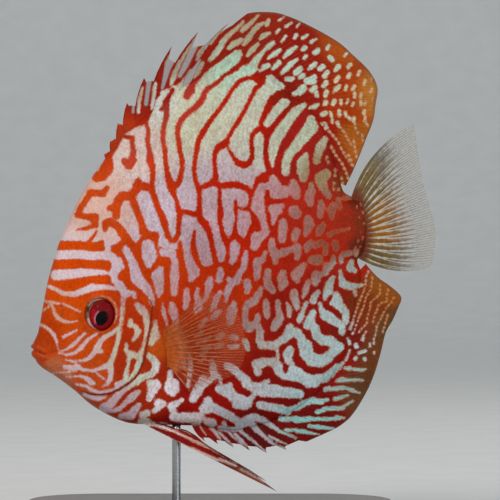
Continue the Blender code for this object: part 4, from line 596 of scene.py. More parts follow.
        (7, 5, 251, 423, 257, 430), (5, 3, 257, 430, 266, 438, 271, 441), (3, 1.5, 270, 442, 278, 446, 287, 449),
        (1.5, 2.5, 269, 436, 277, 440), (2.5, 1, 277, 440, 287, 444.5),
    )),
    "dorsal spine strips": ("pale", (
        (2.5, 4, 142.5, 88, 140, 97), (4, 3, 139.5, 98, 138.5, 112), (3, 4, 155.5, 83, 154, 92), (4, 3, 154, 92, 152, 108),
        (1.5, 3, 169, 56, 166.5, 63), (3, 2, 166.5, 64, 165, 74), (4, 4, 162, 93, 167, 91), (2, 3, 191, 45, 186, 53),
        (3, 3.5, 185, 54, 181, 61), (4, 5, 180, 62, 176, 71), (5, 5, 175, 73, 173, 79), (5, 2, 172.5, 80, 171, 85),
        (4, 5, 191, 71, 187, 78), (5, 7, 187, 78, 181, 88), (4, 4, 202.5, 63.5, 198, 71), (4, 3, 198, 72, 194.5, 77),
        (2, 5, 200, 32, 195, 41), (5, 2, 194, 43, 190, 51), (3, 4, 211, 38, 206, 44), (4, 4, 205, 46, 201, 52), (4, 3, 200, 53, 197, 59),
        (3, 3, 222, 29, 216, 35), (3, 3, 215, 37, 211, 43), (5, 6, 227, 37, 222, 43), (6, 6, 221, 46, 216, 53), (6, 4, 215, 54, 210, 60),
        (2, 2, 229, 25, 222, 31), (3, 4, 243, 22, 236, 29), (4, 5, 235, 30, 229, 35), (4, 6, 229, 48, 235, 43), (6, 5, 236, 43, 241, 40),
        (4, 6, 244, 44, 248, 39), (6, 5, 249, 37, 253, 32), (5, 5, 254, 30, 258, 26), (4, 3, 259, 25, 264, 23),
        (4, 6, 263, 52, 258, 58), (7, 8, 257, 59, 252, 66), (2, 3.5, 259, 15, 253, 21), (4, 5, 252, 22, 246, 27), (5, 4, 245, 28, 242, 31),
    )),
    "dorsal cells": ("fine", (
        (4, 5, 269, 20, 266.5, 24.5), (2, 3, 285, 16, 279, 20.5), (2.5, 4, 292, 22.5, 286, 26.5), (2.5, 3, 300, 23, 297, 27),
        (3.5, 3.5, 279, 29.5, 276.5, 33), (4, 6, 269, 33, 264, 36), (6, 3, 263, 36, 260, 39), (4, 6.5, 258, 44, 253, 49),
        (6.5, 3, 252, 50, 247, 56), (5, 6, 273, 43, 269, 46), (6, 3, 268, 47, 263, 51), (3.5, 3, 286, 36, 281.5, 41.5),
        (4.5, 4, 296.5, 35, 294.5, 38), (2.5, 4.5, 308, 34.5, 303, 38), (3, 4.5, 316, 39, 311, 42), (4, 6.5, 280, 50, 275, 53.5),
        (6, 4, 274, 54, 269, 58), (4, 6, 296, 47, 290, 51), (6.5, 4, 289, 52, 284, 57), (5.5, 5, 305, 47.5, 303, 49.5),
        (6, 6, 318, 50.5, 315, 52.5), (4.5, 4, 306, 56, 304, 58.5), (4, 6.5, 297, 59.5, 291, 64), (6.5, 6, 290, 65, 286, 69),
        (6, 3, 285, 70, 281.5, 73.5), (6, 5, 279, 62.5, 275.5, 66), (5, 3, 275, 67, 272, 69), (6, 6, 268, 65.5, 264, 67),
        (4, 3, 263, 69, 260, 71), (5.5, 5.5, 315, 64, 311, 67), (5, 3, 311, 67, 308.5, 69), (7, 7, 300, 69, 296, 72.5),
        (6, 5, 303, 75.5, 300, 77.5), (5, 6, 287, 79, 292, 79), (7, 6.5, 314, 77.5, 310, 80.5), (6, 6, 323, 66.5, 320, 69),
        (5.5, 6, 327.5, 72.5, 324.5, 76), (6, 6, 330, 57.5, 332, 60), (4, 4, 329, 45.5, 327, 49), (3, 3.5, 347, 53, 344.5, 56),
        (6, 5, 338.5, 66.5, 335.5, 70), (5, 4.5, 350, 64.5, 348, 67.5), (5.5, 5.5, 338, 77.5, 336, 81), (5.5, 5, 349.5, 74.5, 348, 77),
        (4, 4, 359.5, 71.5, 358, 75), (6, 6, 326, 82.5, 324, 85.5), (4, 4, 365.5, 80.5, 364, 84.5), (2.5, 2.5, 372, 77, 371, 81),
        (5, 6, 339, 86.5, 336, 89.5), (4, 3, 335, 90.5, 333.5, 92.5), (4.5, 4.5, 346.5, 86, 345.5, 89.5), (4.5, 4, 354.5, 86, 352.5, 89.5),
        (4, 3.5, 372, 89, 370.5, 92), (5.5, 5.5, 326.5, 91.5, 325.5, 95.5), (4.5, 4, 354.5, 93, 354.5, 97), (4, 4, 361, 94, 360.5, 97.5),
        (5, 5, 316, 92.5, 317, 95.5), (6, 6, 315, 87.5, 312, 90), (5.5, 5.5, 326, 102, 325, 104), (5.5, 5, 334.5, 101, 333, 104),
        (4.5, 4.5, 341, 100.5, 341, 103.5), (3.5, 3.5, 348, 100, 346.5, 103), (4, 4, 353.5, 103, 352.5, 105.5), (4.5, 4.5, 361, 102, 361, 104),
        (3.5, 3.5, 366, 102, 364.5, 104.5), (2, 2, 373, 97, 371.5, 101), (4, 6, 310, 108, 315, 106.5), (6, 4, 315, 106.5, 318, 104.5),
        (5.5, 5.5, 322.5, 114.5, 325.5, 113), (4, 4, 330.5, 112.5, 331.5, 116), (3.5, 3.5, 332, 119, 332.5, 123), (4.5, 4.5, 339, 111, 339.5, 115),
        (4, 4, 345, 112.5, 346, 116), (4, 4, 348.5, 117, 350, 119), (4.5, 4.5, 354, 118, 354, 121), (4, 4, 364.5, 110.5, 364, 114),
        (3.5, 3, 365, 117, 364, 121), (2.5, 2.5, 366, 122, 368, 126), (4.5, 4, 337.5, 122.5, 339, 126.5), (3.5, 4, 325, 123, 327, 128),
    )),
    "dorsal beads": ("fine", beads(
        3.3, 1.2, 5.1, (321.4, 122.9, 325.7, 128.6, 330.7, 132.9, 337, 140, 342.9, 151.4, 348.6, 160, 353, 165.7),
        (330.7, 145.7, 334.3, 152.9, 340.7, 161.4, 345.7, 171.4, 348.6, 178.6), (339, 126, 343.5, 131, 348.6, 140, 352, 146),
        (354.3, 121.4, 355.7, 128.6, 358.6, 134.3), (353.6, 140, 355, 149, 357, 159), (335.7, 168.6, 335, 176),
        (341.4, 177, 342.9, 185.7, 346, 187), (334, 182, 334, 190), (362, 134, 362.9, 141), (348, 154, 351, 160),
        (365, 117, 366, 123, 368, 127), (326, 156, 329, 164), (339, 188, 337, 194),
    )),
    "stalk flecks": ("fine", (
        (2.2, 1.6, 352, 192, 354, 194), (1.8, 1.8, 357.5, 198, 357.7, 199.4), (2.2, 1.8, 360.6, 203, 361.4, 205.6),
        (1.7, 1.5, 356.4, 206.4, 357, 208), (2.0, 1.8, 363, 211.4, 363.4, 213.6), (1.6, 1.6, 359.6, 217, 360, 218),
        (1.8, 1.4, 363.8, 222.6, 364, 224.8), (1.6, 1.6, 361, 231, 361, 232), (2.0, 1.6, 363, 237, 362.4, 239.4),
        (1.8, 1.8, 358.6, 240, 358, 241.6), (2.4, 2.0, 355.6, 246.6, 354.4, 249), (1.8, 1.6, 360.4, 246, 359.6, 248),
    )),
    "pelvic stripes": ("fine", (
        (6, 5, 147, 423, 153, 424), (3.2, 3.4, 140, 421, 156, 425, 176, 432), (3.4, 3.6, 176, 432, 196, 442, 210, 448),
        (3.6, 2, 210, 448, 219, 453, 227, 457.6), (3, 4, 192, 448, 201, 452.6, 210, 457), (4, 3.6, 211, 457, 218, 460),
        (3.8, 3, 219.6, 459.4, 228, 462.6, 236, 466), (2, 2.6, 147, 427, 170, 438.6, 194, 450),
        (2.1, 2.5, 160, 422.6, 178, 427.4, 194, 434.4), (2.5, 1.8, 194, 434.4, 203, 440, 211, 446.4),
        (2.4, 1.8, 240, 469, 252, 475, 264, 482),
    )),
}


def blend(a, b, width):
    # The lower of two fields, with a soft join
    mix = np.clip(0.5 + 0.5 * (b - a) / width, 0, 1)
    return b + (a - b) * mix - width * mix * (1 - mix)


def markField(spots):
    # Signed distance in pixels to the edge of the pale markings: above 0 inside them
    away, _ = lineDistance(spots, (0, 0, *paleGround, *paleGround[:2]))
    field = np.clip(np.where(insideOf(spots, paleGround) > 0, away, -away), -6, 6)
    for tone, strokes in markings.values():
        layer = np.full(len(spots), 6.0)
        soft, shrink = (0.3, 0.35) if tone == "fine" else (1.2, 0.0)
        for stroke in strokes:
            line = np.reshape(stroke[2:], (-1, 2))
            reach = max(stroke[:2]) / 2 + 7
            near = np.all((spots > line.min(0) - reach) & (spots < line.max(0) + reach), axis=1)
            if near.any():
                away, _ = lineDistance(spots[near], stroke)
                layer[near] = blend(layer[near], away + shrink, soft)
        field = blend(field, layer, 1.0) if tone == "warm" else -blend(-field, layer, min(soft, 1.0))
    return np.clip(field, -6, 6)


def zoneColours(spots, zones):
    total, weights = np.zeros((len(spots), 4)), np.zeros(len(spots))
    for x, y, reach, code in zones.values():
        weight = np.exp(-((spots[:, 0] - x) ** 2 + (spots[:, 1] - y) ** 2) / (2 * (0.62 * reach) ** 2)) + 1e-9
        total += weight[:, None] * np.array(srgb(code))
        weights += weight
    return total / weights[:, None]


# ---- meshes

def buildPiece(name, points, faces, material, replaced=(), flat=None):
    # A mesh from millimetre points and equal-sided faces, with its UV map laid from flat, in mm
    points, faces = np.asarray(points, float), np.asarray(faces, int)
    mesh = bpy.data.meshes.new(name)
    mesh.vertices.add(len(points))
    mesh.vertices.foreach_set("co", (points * mm).astype(np.float32).ravel())
    sides = faces.shape[1]
    mesh.loops.add(faces.size)
    mesh.loops.foreach_set("vertex_index", faces.ravel().astype(np.int32))
    mesh.polygons.add(len(faces))
    mesh.polygons.foreach_set("loop_start", np.arange(0, faces.size, sides, dtype=np.int32))
    mesh.update(calc_edges=True)
    mesh.validate()
    mesh.shade_smooth()
    if flat is None:
        flat = points[:, [0, 2]]
    low, high = flat.min(0), flat.max(0)
    uv = mesh.uv_layers.new(name="OFBake")
    corner = np.zeros(len(mesh.loops), np.int32)
    mesh.loops.foreach_get("vertex_index", corner)
    spread = (flat - low) / (high - low).max() * 0.98 + 0.01
    uv.data.foreach_set("uv", spread[corner].astype(np.float32).ravel())
    mesh.materials.append(material)
    piece = bpy.data.objects.new(name, mesh)
    scene.collection.objects.link(piece)
    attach(piece, "root")
    if replaced:
        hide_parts(*replaced)
    print("piece", name, len(points), "points", len(faces), "faces")
    return piece


def addValues(piece, name, values):
    values = np.asarray(values, np.float32)
    kind = "FLOAT" if values.ndim == 1 else "FLOAT_COLOR"
    layer = piece.data.attributes.new(name, kind, "POINT")
    layer.data.foreach_set("value" if values.ndim == 1 else "color", values.ravel())


def vertexNormals(points, faces):
    a, b, c = (points[faces[:, k]] for k in range(3))
    normal = np.cross(b - a, c - a)
    total = np.zeros_like(points)
    for k in range(faces.shape[1]):
        np.add.at(total, faces[:, k], normal)
    return total / np.maximum(np.linalg.norm(total, axis=1), 1e-12)[:, None]


def warp(spots, amount):
    # Shifts photo points in slow waves, so that the far flank's pattern isn't a mirror image
    x, y = spots.T
    shift = np.stack([np.sin(y / 23 + 1.3) * 3.4 + np.sin(x / 31 + y / 47) * 2.6,
                      np.sin(x / 21 + 0.4) * 3.2 + np.sin(y / 37 - x / 29) * 2.4], 1)
    return spots + shift * amount[:, None]


def paint(piece, points):
    # Gives a piece its markings and its two ground colours
    spots = toPhoto(points)
    spots = warp(spots, smoothStep(1.0, 6.0, points[:, 1]))
    addValues(piece, "mark", markField(spots))
    addValues(piece, "warm", zoneColours(spots, warmZones))
    addValues(piece, "pale", zoneColours(spots, paleZones))


# ---- skin: one closed surface over the head, jaw, body, tail stalk and gill covers

skinGrid = {
    "spacing": 0.66,         # mm between points on the flanks
    "dense": (-50.0, 76.0),  # the head, where they lie closer
    "denseReach": 30.0,
    "denseShare": 0.36,
    "rimSteps": (0, 18, 36, 52, 66, 78, 90),
    "rimCount": 700,
}


def flankPoints():
    step = skinGrid["spacing"]
    grid = []
    for j, z in enumerate(np.arange(-110, 110, step * math.sqrt(3) / 2)):
        xs = np.arange(-110, 110, step) + (j % 2) * step / 2
        grid.append(np.stack([xs, np.full(len(xs), z)], 1))
    grid = np.concatenate(grid)
    away = np.hypot(*grid.T)
    grid = grid * (1 - skinGrid["denseShare"] * np.exp(-(away / skinGrid["denseReach"]) ** 2))[:, None]
    grid = grid + skinGrid["dense"]
    angle, radius = polar(*grid.T)
    rim = around(body["section"], angle)[0]
    inner = around(edge, angle)[0] - radius > body["capDepth"] * rim + 0.4
    angles = np.arange(skinGrid["rimCount"]) * 360.0 / skinGrid["rimCount"] - 180.0
    rim = around(body["section"], angles)[0] * body["capDepth"]
    rings = [np.stack(edgePoint(angles, rim * (1 - math.sin(math.radians(turn)))), 1)
             for turn in skinGrid["rimSteps"]]
    spots = np.concatenate([rings[-1], grid[inner], *rings[:-1]])
    count = len(angles)
    ring = [(k, (k + 1) % count) for k in range(count)]
    flat, _, faces, *_ = delaunay_2d_cdt([Vector(spot) for spot in spots], ring, [], 1, 1e-7)
    return np.array([(spot.x, spot.y) for spot in flat]), np.array(faces)


def buildSkin(material):
    flat, faces = flankPoints()
    x, z = flat.T
    half = halfWidth(x, z, rounded=True)
    angle, away = polar(x, z)
    atEdge = away > around(edge, angle)[0] - 1e-4
    half[atEdge] = 0.0
    left = np.stack([x, -half, z], 1)
    a, b, c = (left[faces[:, k]] for k in range(3))
    turned = np.cross(b - a, c - a)[:, 1].sum() > 0
    if turned:
        faces = faces[:, ::-1]
    normal = vertexNormals(left, faces)
    normal[atEdge, 1] = 0.0
    normal /= np.linalg.norm(normal, axis=1)[:, None]
    spots = toPhoto(left)
    rise = relief(spots, x, z)
    clear = smoothStep(0.0, 14.0, np.hypot(spots[:, 0] - 45, spots[:, 1] - 350) - 16)
    rise += (scaleDomes(x, z) - 0.3) * scales["height"] * clear * smoothStep(0.0, 1.5, half)
    left = left + normal * rise[:, None]
    count = len(left)
    mirror = np.where(atEdge, np.arange(count), 0)
    mirror[~atEdge] = count + np.arange((~atEdge).sum())
    right = left[~atEdge] * (1, -1, 1)
    points = np.concatenate([left, right])
    allFaces = np.concatenate([faces, mirror[faces][:, ::-1]])
    uvFlat = np.concatenate([flat, flat[~atEdge] + (150.0, 0.0)])
    skin = buildPiece("skin", points, allFaces, material,
                      ("head", "lower_jaw", "body", "tail_stalk", "gill_cover_left", "gill_cover_right"), uvFlat)
    # a face of the far flank that reaches the shared edge takes its edge corners from the near flank's map,
    # so those corners move over with it
    layer = skin.data.uv_layers["OFBake"].data
    uv = np.zeros(len(layer) * 2, np.float32)
    layer.foreach_get("uv", uv)
    uv = uv.reshape(-1, 3, 2)
    shift = 150.0 / (uvFlat.max(0) - uvFlat.min(0)).max() * 0.98
    far = np.arange(len(uv)) >= len(faces)
    stray = far[:, None] & np.concatenate([np.zeros_like(faces, bool), atEdge[faces][:, ::-1]])
    uv[stray, 0] += shift
    layer.foreach_set("uv", uv.ravel())
    base = np.concatenate([np.stack([x, -half, z], 1), np.stack([x, half, z], 1)[~atEdge]])
    paint(skin, base)
    # side of the gill cover's rear edge and nearness to it, for the painted shade line of the gill slit there
    spots = toPhoto(base)
    away = lineDistance(spots, (0, 0, *coverEdge))[0]
    addValues(skin, "gillSlitShade", away * (1 - 2 * insideOf(spots, coverEdge + coverFront)))
    addValues(skin, "gillSlitShadeNear", 1 - smoothStep(3.0, 6.0, away))
    return skin


# ---- fins

dorsal = {
    "margin": (
        (131.5, -39.7, 141.6), (128.3, -37.5, 146.3), (124.4, -34.5, 153.4), (120.4, -31.1, 160.9),
        (114.3, -24.7, 170.3), (108.6, -14.2, 182.3), (103.5, -4.5, 187.5), (97.7, 7.1, 190.9),
        (92.9, 14.0, 194.4), (86.6, 21.5, 195.0), (82.8, 27.0, 194.2), (77.3, 36.0, 190.5),
        (69.8, 48.0, 183.8), (65.4, 54.0, 178.5), (61.6, 60.0, 172.5), (58.4, 62.8, 166.6),
        (56.0, 62.2, 160.9), (53.4, 61.1, 154.1), (49.4, 58.5, 147.4), (45.0, 56.2, 141.4),
        (40.5, 54.0, 136.2), (36.0, 52.3, 132.6), (31.5, 50.9, 129.8),
    ),
    "spines": 9, "rays": 31, "notch": 0.44, "bow": (0.09, 0.03), "rootHalf": 0.6, "soft": 330, "rows": 88,
}
anal = {
    "margin": (
        (-93.3, -1.7, 33.9), (-89.4, 3.0, 33.0), (-84.5, 9.0, 31.7), (-79.5, 15.0, 30.6),
        (-74.5, 21.4, 29.6), (-69.6, 28.7, 30.8), (-65.0, 36.2, 33.9), (-60.6, 43.0, 36.9),
        (-58.0, 48.4, 39.6), (-55.0, 52.9, 43.4), (-48.7, 58.1, 51.4), (-42.2, 61.5, 58.9),
        (-37.0, 64.1, 67.5), (-33.4, 66.0, 75.0), (-30.3, 68.6, 79.6), (-27.9, 70.5, 84.0),
        (-24.8, 71.8, 87.6), (-21.5, 70.2, 90.0), (-17.5, 66.8, 92.8), (-12.5, 63.2, 95.3),
        (-7.5, 60.4, 98.2), (-3.0, 58.4, 100.6),
    ),
    "spines": 7, "rays": 29, "notch": 0.68, "bow": (-0.10, -0.02), "rootHalf": 0.6, "soft": 300, "rows": 66,
}
caudal = {
    "margin": (
        (3.2, 80.6, 98.6), (4.6, 82.9, 100.1), (6.2, 84.0, 104.6), (8.0, 84.4, 109.9), (10.2, 84.2, 115.1),
        (13.0, 81.7, 123.7), (16.0, 79.5, 132.4), (19.0, 78.0, 141.8), (21.5, 77.2, 147.6),
        (23.4, 76.4, 153.0),
    ),
    "spines": 0, "rays": 16, "notch": 1.0, "bow": (-0.10, 0.11), "rootHalf": 1.6, "soft": 256, "rows": 80,
}
finForm = {
    "rayHalf": 0.34,         # half thickness at a ray's crest, past the root
    "webHalf": 0.2,
    "spineHalf": 0.46,
    "buried": 1.9,           # how far the root lies inside the flesh
    # outline from one spine's tip to the next: share of the way, and how far out; the cleft lies at the third place
    "web": ((0.0, 0.14, 0.34, 0.9, 1.0), (1.0, 0.88, 0.72)),
    "spineSteps": (0, .02, .045, .08, .12, .17, .22, .28, .34, .41, .48, .55, .62, .69, .76, .83, .9,
                   .925, .95, .975),
}


def keyedMargin(margin):
    # The margin's rows keyed by how far they lie along the root and the margin together
    rows = np.array(margin, float)
    roots = np.stack(edgePoint(rows[:, 0]), 1)
    steps = np.hypot(*np.diff(roots, axis=0).T) + np.hypot(*np.diff(rows[:, 1:], axis=0).T)
    return np.concatenate([np.concatenate([[0.0], np.cumsum(steps)])[:, None], rows], 1)


def finColumns(keyed, form):
    # For each column of the fin: its key, how far out it reaches, its spine's phase, its soft ray's phase
    keys, lengths, phases, rays = [], [], [], []
    spines = form["spines"]
    places, falls = finForm["web"]
    for i in range(spines - 1):
        start, step = keyed[i, 0], keyed[i + 1, 0] - keyed[i, 0]
        cleft = form["notch"] + (1 - form["notch"]) * (i / (spines - 1)) ** 3
        for t in finForm["spineSteps"]:
            reach = np.interp(t, places, (*np.maximum(falls, cleft), cleft, 1.0))
            keys.append(start + step * t)
            lengths.append(reach)
            phases.append(min(t, 1 - t))
            rays.append(0.0)
    start = keyed[spines - 1, 0] if spines else keyed[0, 0]
    shares = np.arange(form["soft"] + 1) / form["soft"]
    keys += list(start + (keyed[-1, 0] - start) * shares)
    lengths += [1.0] * len(shares)
    count = form["rays"] if spines else form["rays"] - 1
    phases += list(np.where(shares * count < 0.5, shares * count, 1.0) if spines else np.ones(len(shares)))
    rays += list(shares * count)
    return tuple(np.array(part) for part in (keys, lengths, phases, rays))


def rayCrest(phase, row):
    # Height of the rays, 0 to 1: each one splits in two and then in four on its way out
    crests = [np.abs(np.cos(math.pi * phase * split)) ** power for split, power in ((1, 10), (2, 7), (4, 5))]
    second, third = smoothStep(0.25, 0.5, row), smoothStep(0.55, 0.8, row)
    return crests[0] * (1 - second) + crests[1] * second * (1 - third) + crests[2] * third * 0.8


def gridFaces(columns, rows):
    a = (np.arange(columns - 1)[:, None] * rows + np.arange(rows - 1)).ravel()
    return np.stack([a, a + rows, a + rows + 1, a + 1], 1)


def sheetFaces(columns, rows):
    # Two grids of points, one for each face of a sheet, closed round their border
    layer = columns * rows
    faces = gridFaces(columns, rows)
    rim = [k * rows for k in range(columns)] + [(columns - 1) * rows + k for k in range(1, rows)]
    rim += [k * rows + rows - 1 for k in range(columns - 2, -1, -1)] + list(range(rows - 2, 0, -1))
    rim = np.array(rim)
    after = np.roll(rim, -1)
    return np.concatenate([faces, faces[:, ::-1] + layer, np.stack([rim, rim + layer, after + layer, after], 1)])


def turnOut(points, faces):
    # Faces turned so that the closed mesh has a positive volume
    a, b, c, d = (points[faces[:, k]] for k in range(4))
    volume = (np.cross(a, b) * c).sum() + (np.cross(a, c) * d).sum()
    return faces if volume > 0 else faces[:, ::-1]


# See-through membrane between the first dorsal spines
clearWebs = (
    (5.0, 4.0, 149.4, 79, 147.6, 92, 146, 104), (8.0, 5.0, 173, 57, 168, 67, 165, 78), (5.0, 3.0, 165, 78, 162.4, 88),
    (6.0, 6.4, 197.4, 41, 190.8, 54, 185.4, 65), (6.4, 4.0, 185.4, 65, 179.6, 76), (2.0, 7.0, 200, 60, 194, 70, 188, 80),
    (7.0, 4.0, 188, 80, 183.6, 90), (1.6, 3.0, 216, 33, 209, 41, 205, 48), (2.0, 3.0, 133.6, 100, 133, 112),
)


def unpairedFin(name, form, material):
    keyed = keyedMargin(form["margin"])
    keys, lengths, phases, rays = finColumns(keyed, form)
    angle, tipX, tipZ = curveAt(keyed, keys)
    rootX, rootZ = edgePoint(angle, finForm["buried"])
    rows = np.linspace(0, 1, form["rows"])
    share = rows * lengths[:, None]
    dx, dz = (tipX - rootX)[:, None], (tipZ - rootZ)[:, None]
    bend = form["bow"][0] + (form["bow"][1] - form["bow"][0]) * keys / keyed[-1, 0]
    bend = bend[:, None] * 4 * share * (1 - share)
    x = rootX[:, None] + dx * share - dz * bend
    z = rootZ[:, None] + dz * share + dx * bend
    row = np.broadcast_to(rows, x.shape)
    crest = np.where(phases[:, None] >= 1, rayCrest(rays[:, None], row), 0.0)
    spine = np.exp(-(phases[:, None] / 0.055) ** 2)
    half = finForm["webHalf"] + (finForm["rayHalf"] - finForm["webHalf"]) * crest
    half = np.maximum(half, finForm["webHalf"] + (finForm["spineHalf"] - finForm["webHalf"]) * spine)
    half = half + (form["rootHalf"] - half) * (1 - row) ** 3
    half = half * (1 - 0.55 * smoothStep(0.9, 1.0, row))
    near = np.stack([x, -half, z], 2).reshape(-1, 3)
    points = np.concatenate([near, near * (1, -1, 1)])
    faces = turnOut(points, sheetFaces(*x.shape))
    flat = np.concatenate([near[:, [0, 2]], near[:, [0, 2]] + (0.0, 1.02 * np.ptp(near[:, 2]))])
    fin = buildPiece("fin_" + name, points, faces, material, (name + "_fin",), flat)
    paint(fin, points)
    addValues(fin, "row", np.tile(row.ravel(), 2))
    addValues(fin, "crest", np.tile(np.maximum(crest, spine).ravel(), 2))
    if form is dorsal:
        spots = toPhoto(points)
        clear = np.max([1 - smoothStep(-0.8, 0.8, lineDistance(spots, web)[0]) for web in clearWebs], axis=0)
        addValues(fin, "clear", clear)
    addValues(fin, "ray", np.tile(np.broadcast_to(rays[:, None], x.shape).ravel(), 2))
    return fin


pectoral = {
    "root": ((-16.6, 76.0), (-14.8, 62.4)),
    "margin": (
        (0.0, -1.1, 91.1), (0.1, 3.2, 89.6), (0.22, 7.7, 85.9), (0.36, 11.3, 80.6), (0.5, 13.2, 74.6),
        (0.62, 13.5, 69.0), (0.73, 12.2, 63.7), (0.82, 8.8, 59.6), (0.9, 3.8, 57.1), (0.95, -1.4, 55.3),
        (1.0, -7.2, 53.4),
    ),
    "rays": 12, "standOff": 7.5, "rootHalf": 1.3, "gap": 0.3, "columns": 221, "rows": 72,
}


def pectoralFin(name, side, material):
    (topX, topZ), (lowX, lowZ) = pectoral["root"]
    shares = np.linspace(0, 1, pectoral["columns"])
    rows = np.linspace(0, 1, pectoral["rows"])
    rootX, rootZ = topX + (lowX - topX) * shares, topZ + (lowZ - topZ) * shares
    tipX, tipZ = curveAt(pectoral["margin"], shares)
    phase = shares * (pectoral["rays"] - 1)
    scallop = 1 - 0.018 * (1 - np.abs(np.cos(math.pi * phase)))
    reach = rows * scallop[:, None]
    flank = halfWidth(rootX, rootZ)[:, None] + pectoral["gap"] + pectoral["rootHalf"]
    sink = 1.6 * (1 - smoothStep(0.0, 0.16, rows))
    wave = 0.35 * np.sin(phase * 1.1)[:, None] * rows
    y = flank + pectoral["standOff"] * np.sin(math.pi / 2 * reach) - sink + wave
    x = rootX[:, None] + (tipX - rootX)[:, None] * reach
    z = rootZ[:, None] + (tipZ - rootZ)[:, None] * reach
    middle = np.stack([x, side * y, z], 2)
    out = np.cross(np.gradient(middle, axis=0), np.gradient(middle, axis=1))
    out /= np.linalg.norm(out, axis=2)[:, :, None]
    row = np.broadcast_to(rows, x.shape)
    crest = rayCrest(phase[:, None], row)
    half = 0.14 + 0.16 * crest
    half = half + (pectoral["rootHalf"] - half) * (1 - row) ** 5
    points = np.concatenate([(middle + out * half[:, :, None]).reshape(-1, 3),
                             (middle - out * half[:, :, None]).reshape(-1, 3)])
    faces = turnOut(points, sheetFaces(*x.shape))
    flat = middle[:, :, [0, 2]].reshape(-1, 2)
    flat = np.concatenate([flat, flat + (0.0, 1.02 * np.ptp(flat[:, 1]))])
    fin = buildPiece("fin_" + name, points, faces, material, (name.replace("_", "_fin_"),), flat)
    addValues(fin, "row", np.tile(row.ravel(), 2))
    addValues(fin, "crest", np.tile(crest.ravel(), 2))
    addValues(fin, "ray", np.tile(np.broadcast_to(phase[:, None], x.shape).ravel(), 2))
    return fin


pelvic = {
    "rootAngles": (-110.4, -105.0),
    "left": ((0.0, 25.1, 15.8), (0.2, 17.6, 21.2), (0.4, 8.4, 26.8), (0.6, -0.6, 32.0), (0.8, -4.4, 35.2),
             (1.0, -8.4, 37.8)),
    "right": ((0.0, 21.4, 18.4), (0.2, 14.6, 23.0), (0.4, 6.2, 28.0), (0.6, -1.6, 32.8), (0.8, -5.2, 35.8),
              (1.0, -8.8, 38.0)),
    "y": 1.55, "spread": 6.5, "rootHalf": 0.6, "columns": 91, "rows": 150,
}


def pelvicFin(name, side, tips, material):
    shares = np.linspace(0, 1, pelvic["columns"])
    rows = np.linspace(0, 1, pelvic["rows"])
    front, rear = pelvic["rootAngles"]
    rootX, rootZ = edgePoint(front + (rear - front) * shares, 0.7)
    tipX, tipZ = curveAt(tips, shares)
    x = rootX[:, None] + (tipX - rootX)[:, None] * rows
    z = rootZ[:, None] + (tipZ - rootZ)[:, None] * rows
    y = pelvic["y"] + pelvic["spread"] * np.sin(math.pi / 2 * rows) * (tipX - rootX)[:, None] / 50.0
    phase = shares * (len(tips) - 1)
    row = np.broadcast_to(rows, x.shape)
    crest = np.maximum(np.abs(np.cos(math.pi * phase[:, None])) ** 6, 0 * row)
    half = 0.2 + 0.22 * crest
    half = half + (pelvic["rootHalf"] - half) * (1 - row) ** 2
    half = half * (1 - 0.5 * smoothStep(0.9, 1.0, row))
    near = np.stack([x, side * y - half, z], 2).reshape(-1, 3)
    far = np.stack([x, side * y + half, z], 2).reshape(-1, 3)
    points = np.concatenate([near, far])
    faces = turnOut(points, sheetFaces(*x.shape))
    flat = np.concatenate([near[:, [0, 2]], near[:, [0, 2]] + (0.0, 1.02 * np.ptp(near[:, 2]))])
    fin = buildPiece("fin_" + name, points, faces, material, (name.replace("_", "_fin_"),), flat)
    paint(fin, points * (1, -1 if side > 0 else 1, 1))
    addValues(fin, "row", np.tile(row.ravel(), 2))
    addValues(fin, "crest", np.tile(crest.ravel(), 2))
    addValues(fin, "ray", np.tile(np.broadcast_to(phase[:, None], x.shape).ravel(), 2))
    return fin


# ---- materials

def newMaterial(name):
    material = bpy.data.materials.new(name)
    material.use_nodes = True
    tree = material.node_tree
    return material, tree, tree.nodes["Principled BSDF"]


def combine(tree, a, b, operation="ADD", clamp=False):
    node = addNode(tree, "ShaderNodeMath", {0: a, 1: b}, operation=operation, use_clamp=clamp)
    return node.outputs[0]


def attribute(tree, name, output="Fac"):
    return addNode(tree, "ShaderNodeAttribute", attribute_name=name).outputs[output]


def remap(tree, value, low, high, toLow=0.0, toHigh=1.0, kind="SMOOTHSTEP"):
    node = addNode(tree, "ShaderNodeMapRange", {0: value, 1: low, 2: high, 3: toLow, 4: toHigh},
                   interpolation_type=kind)
    return node.outputs[0]


def mixColours(tree, share, a, b, kind="MIX"):
    node = addNode(tree, "ShaderNodeMix", data_type="RGBA", blend_type=kind)
    for socket, value in ((node.inputs[0], share), (node.inputs[6], a), (node.inputs[7], b)):
        if isinstance(value, bpy.types.NodeSocket):
            tree.links.new(value, socket)
        else:
            socket.default_value = value
    return node.outputs[2]


def noise(tree, vector, scale, detail=2.0, rough=0.5):
    node = addNode(tree, "ShaderNodeTexNoise", {"Vector": vector, "Scale": scale, "Detail": detail,
                                                "Roughness": rough})
    return node.outputs["Fac"]


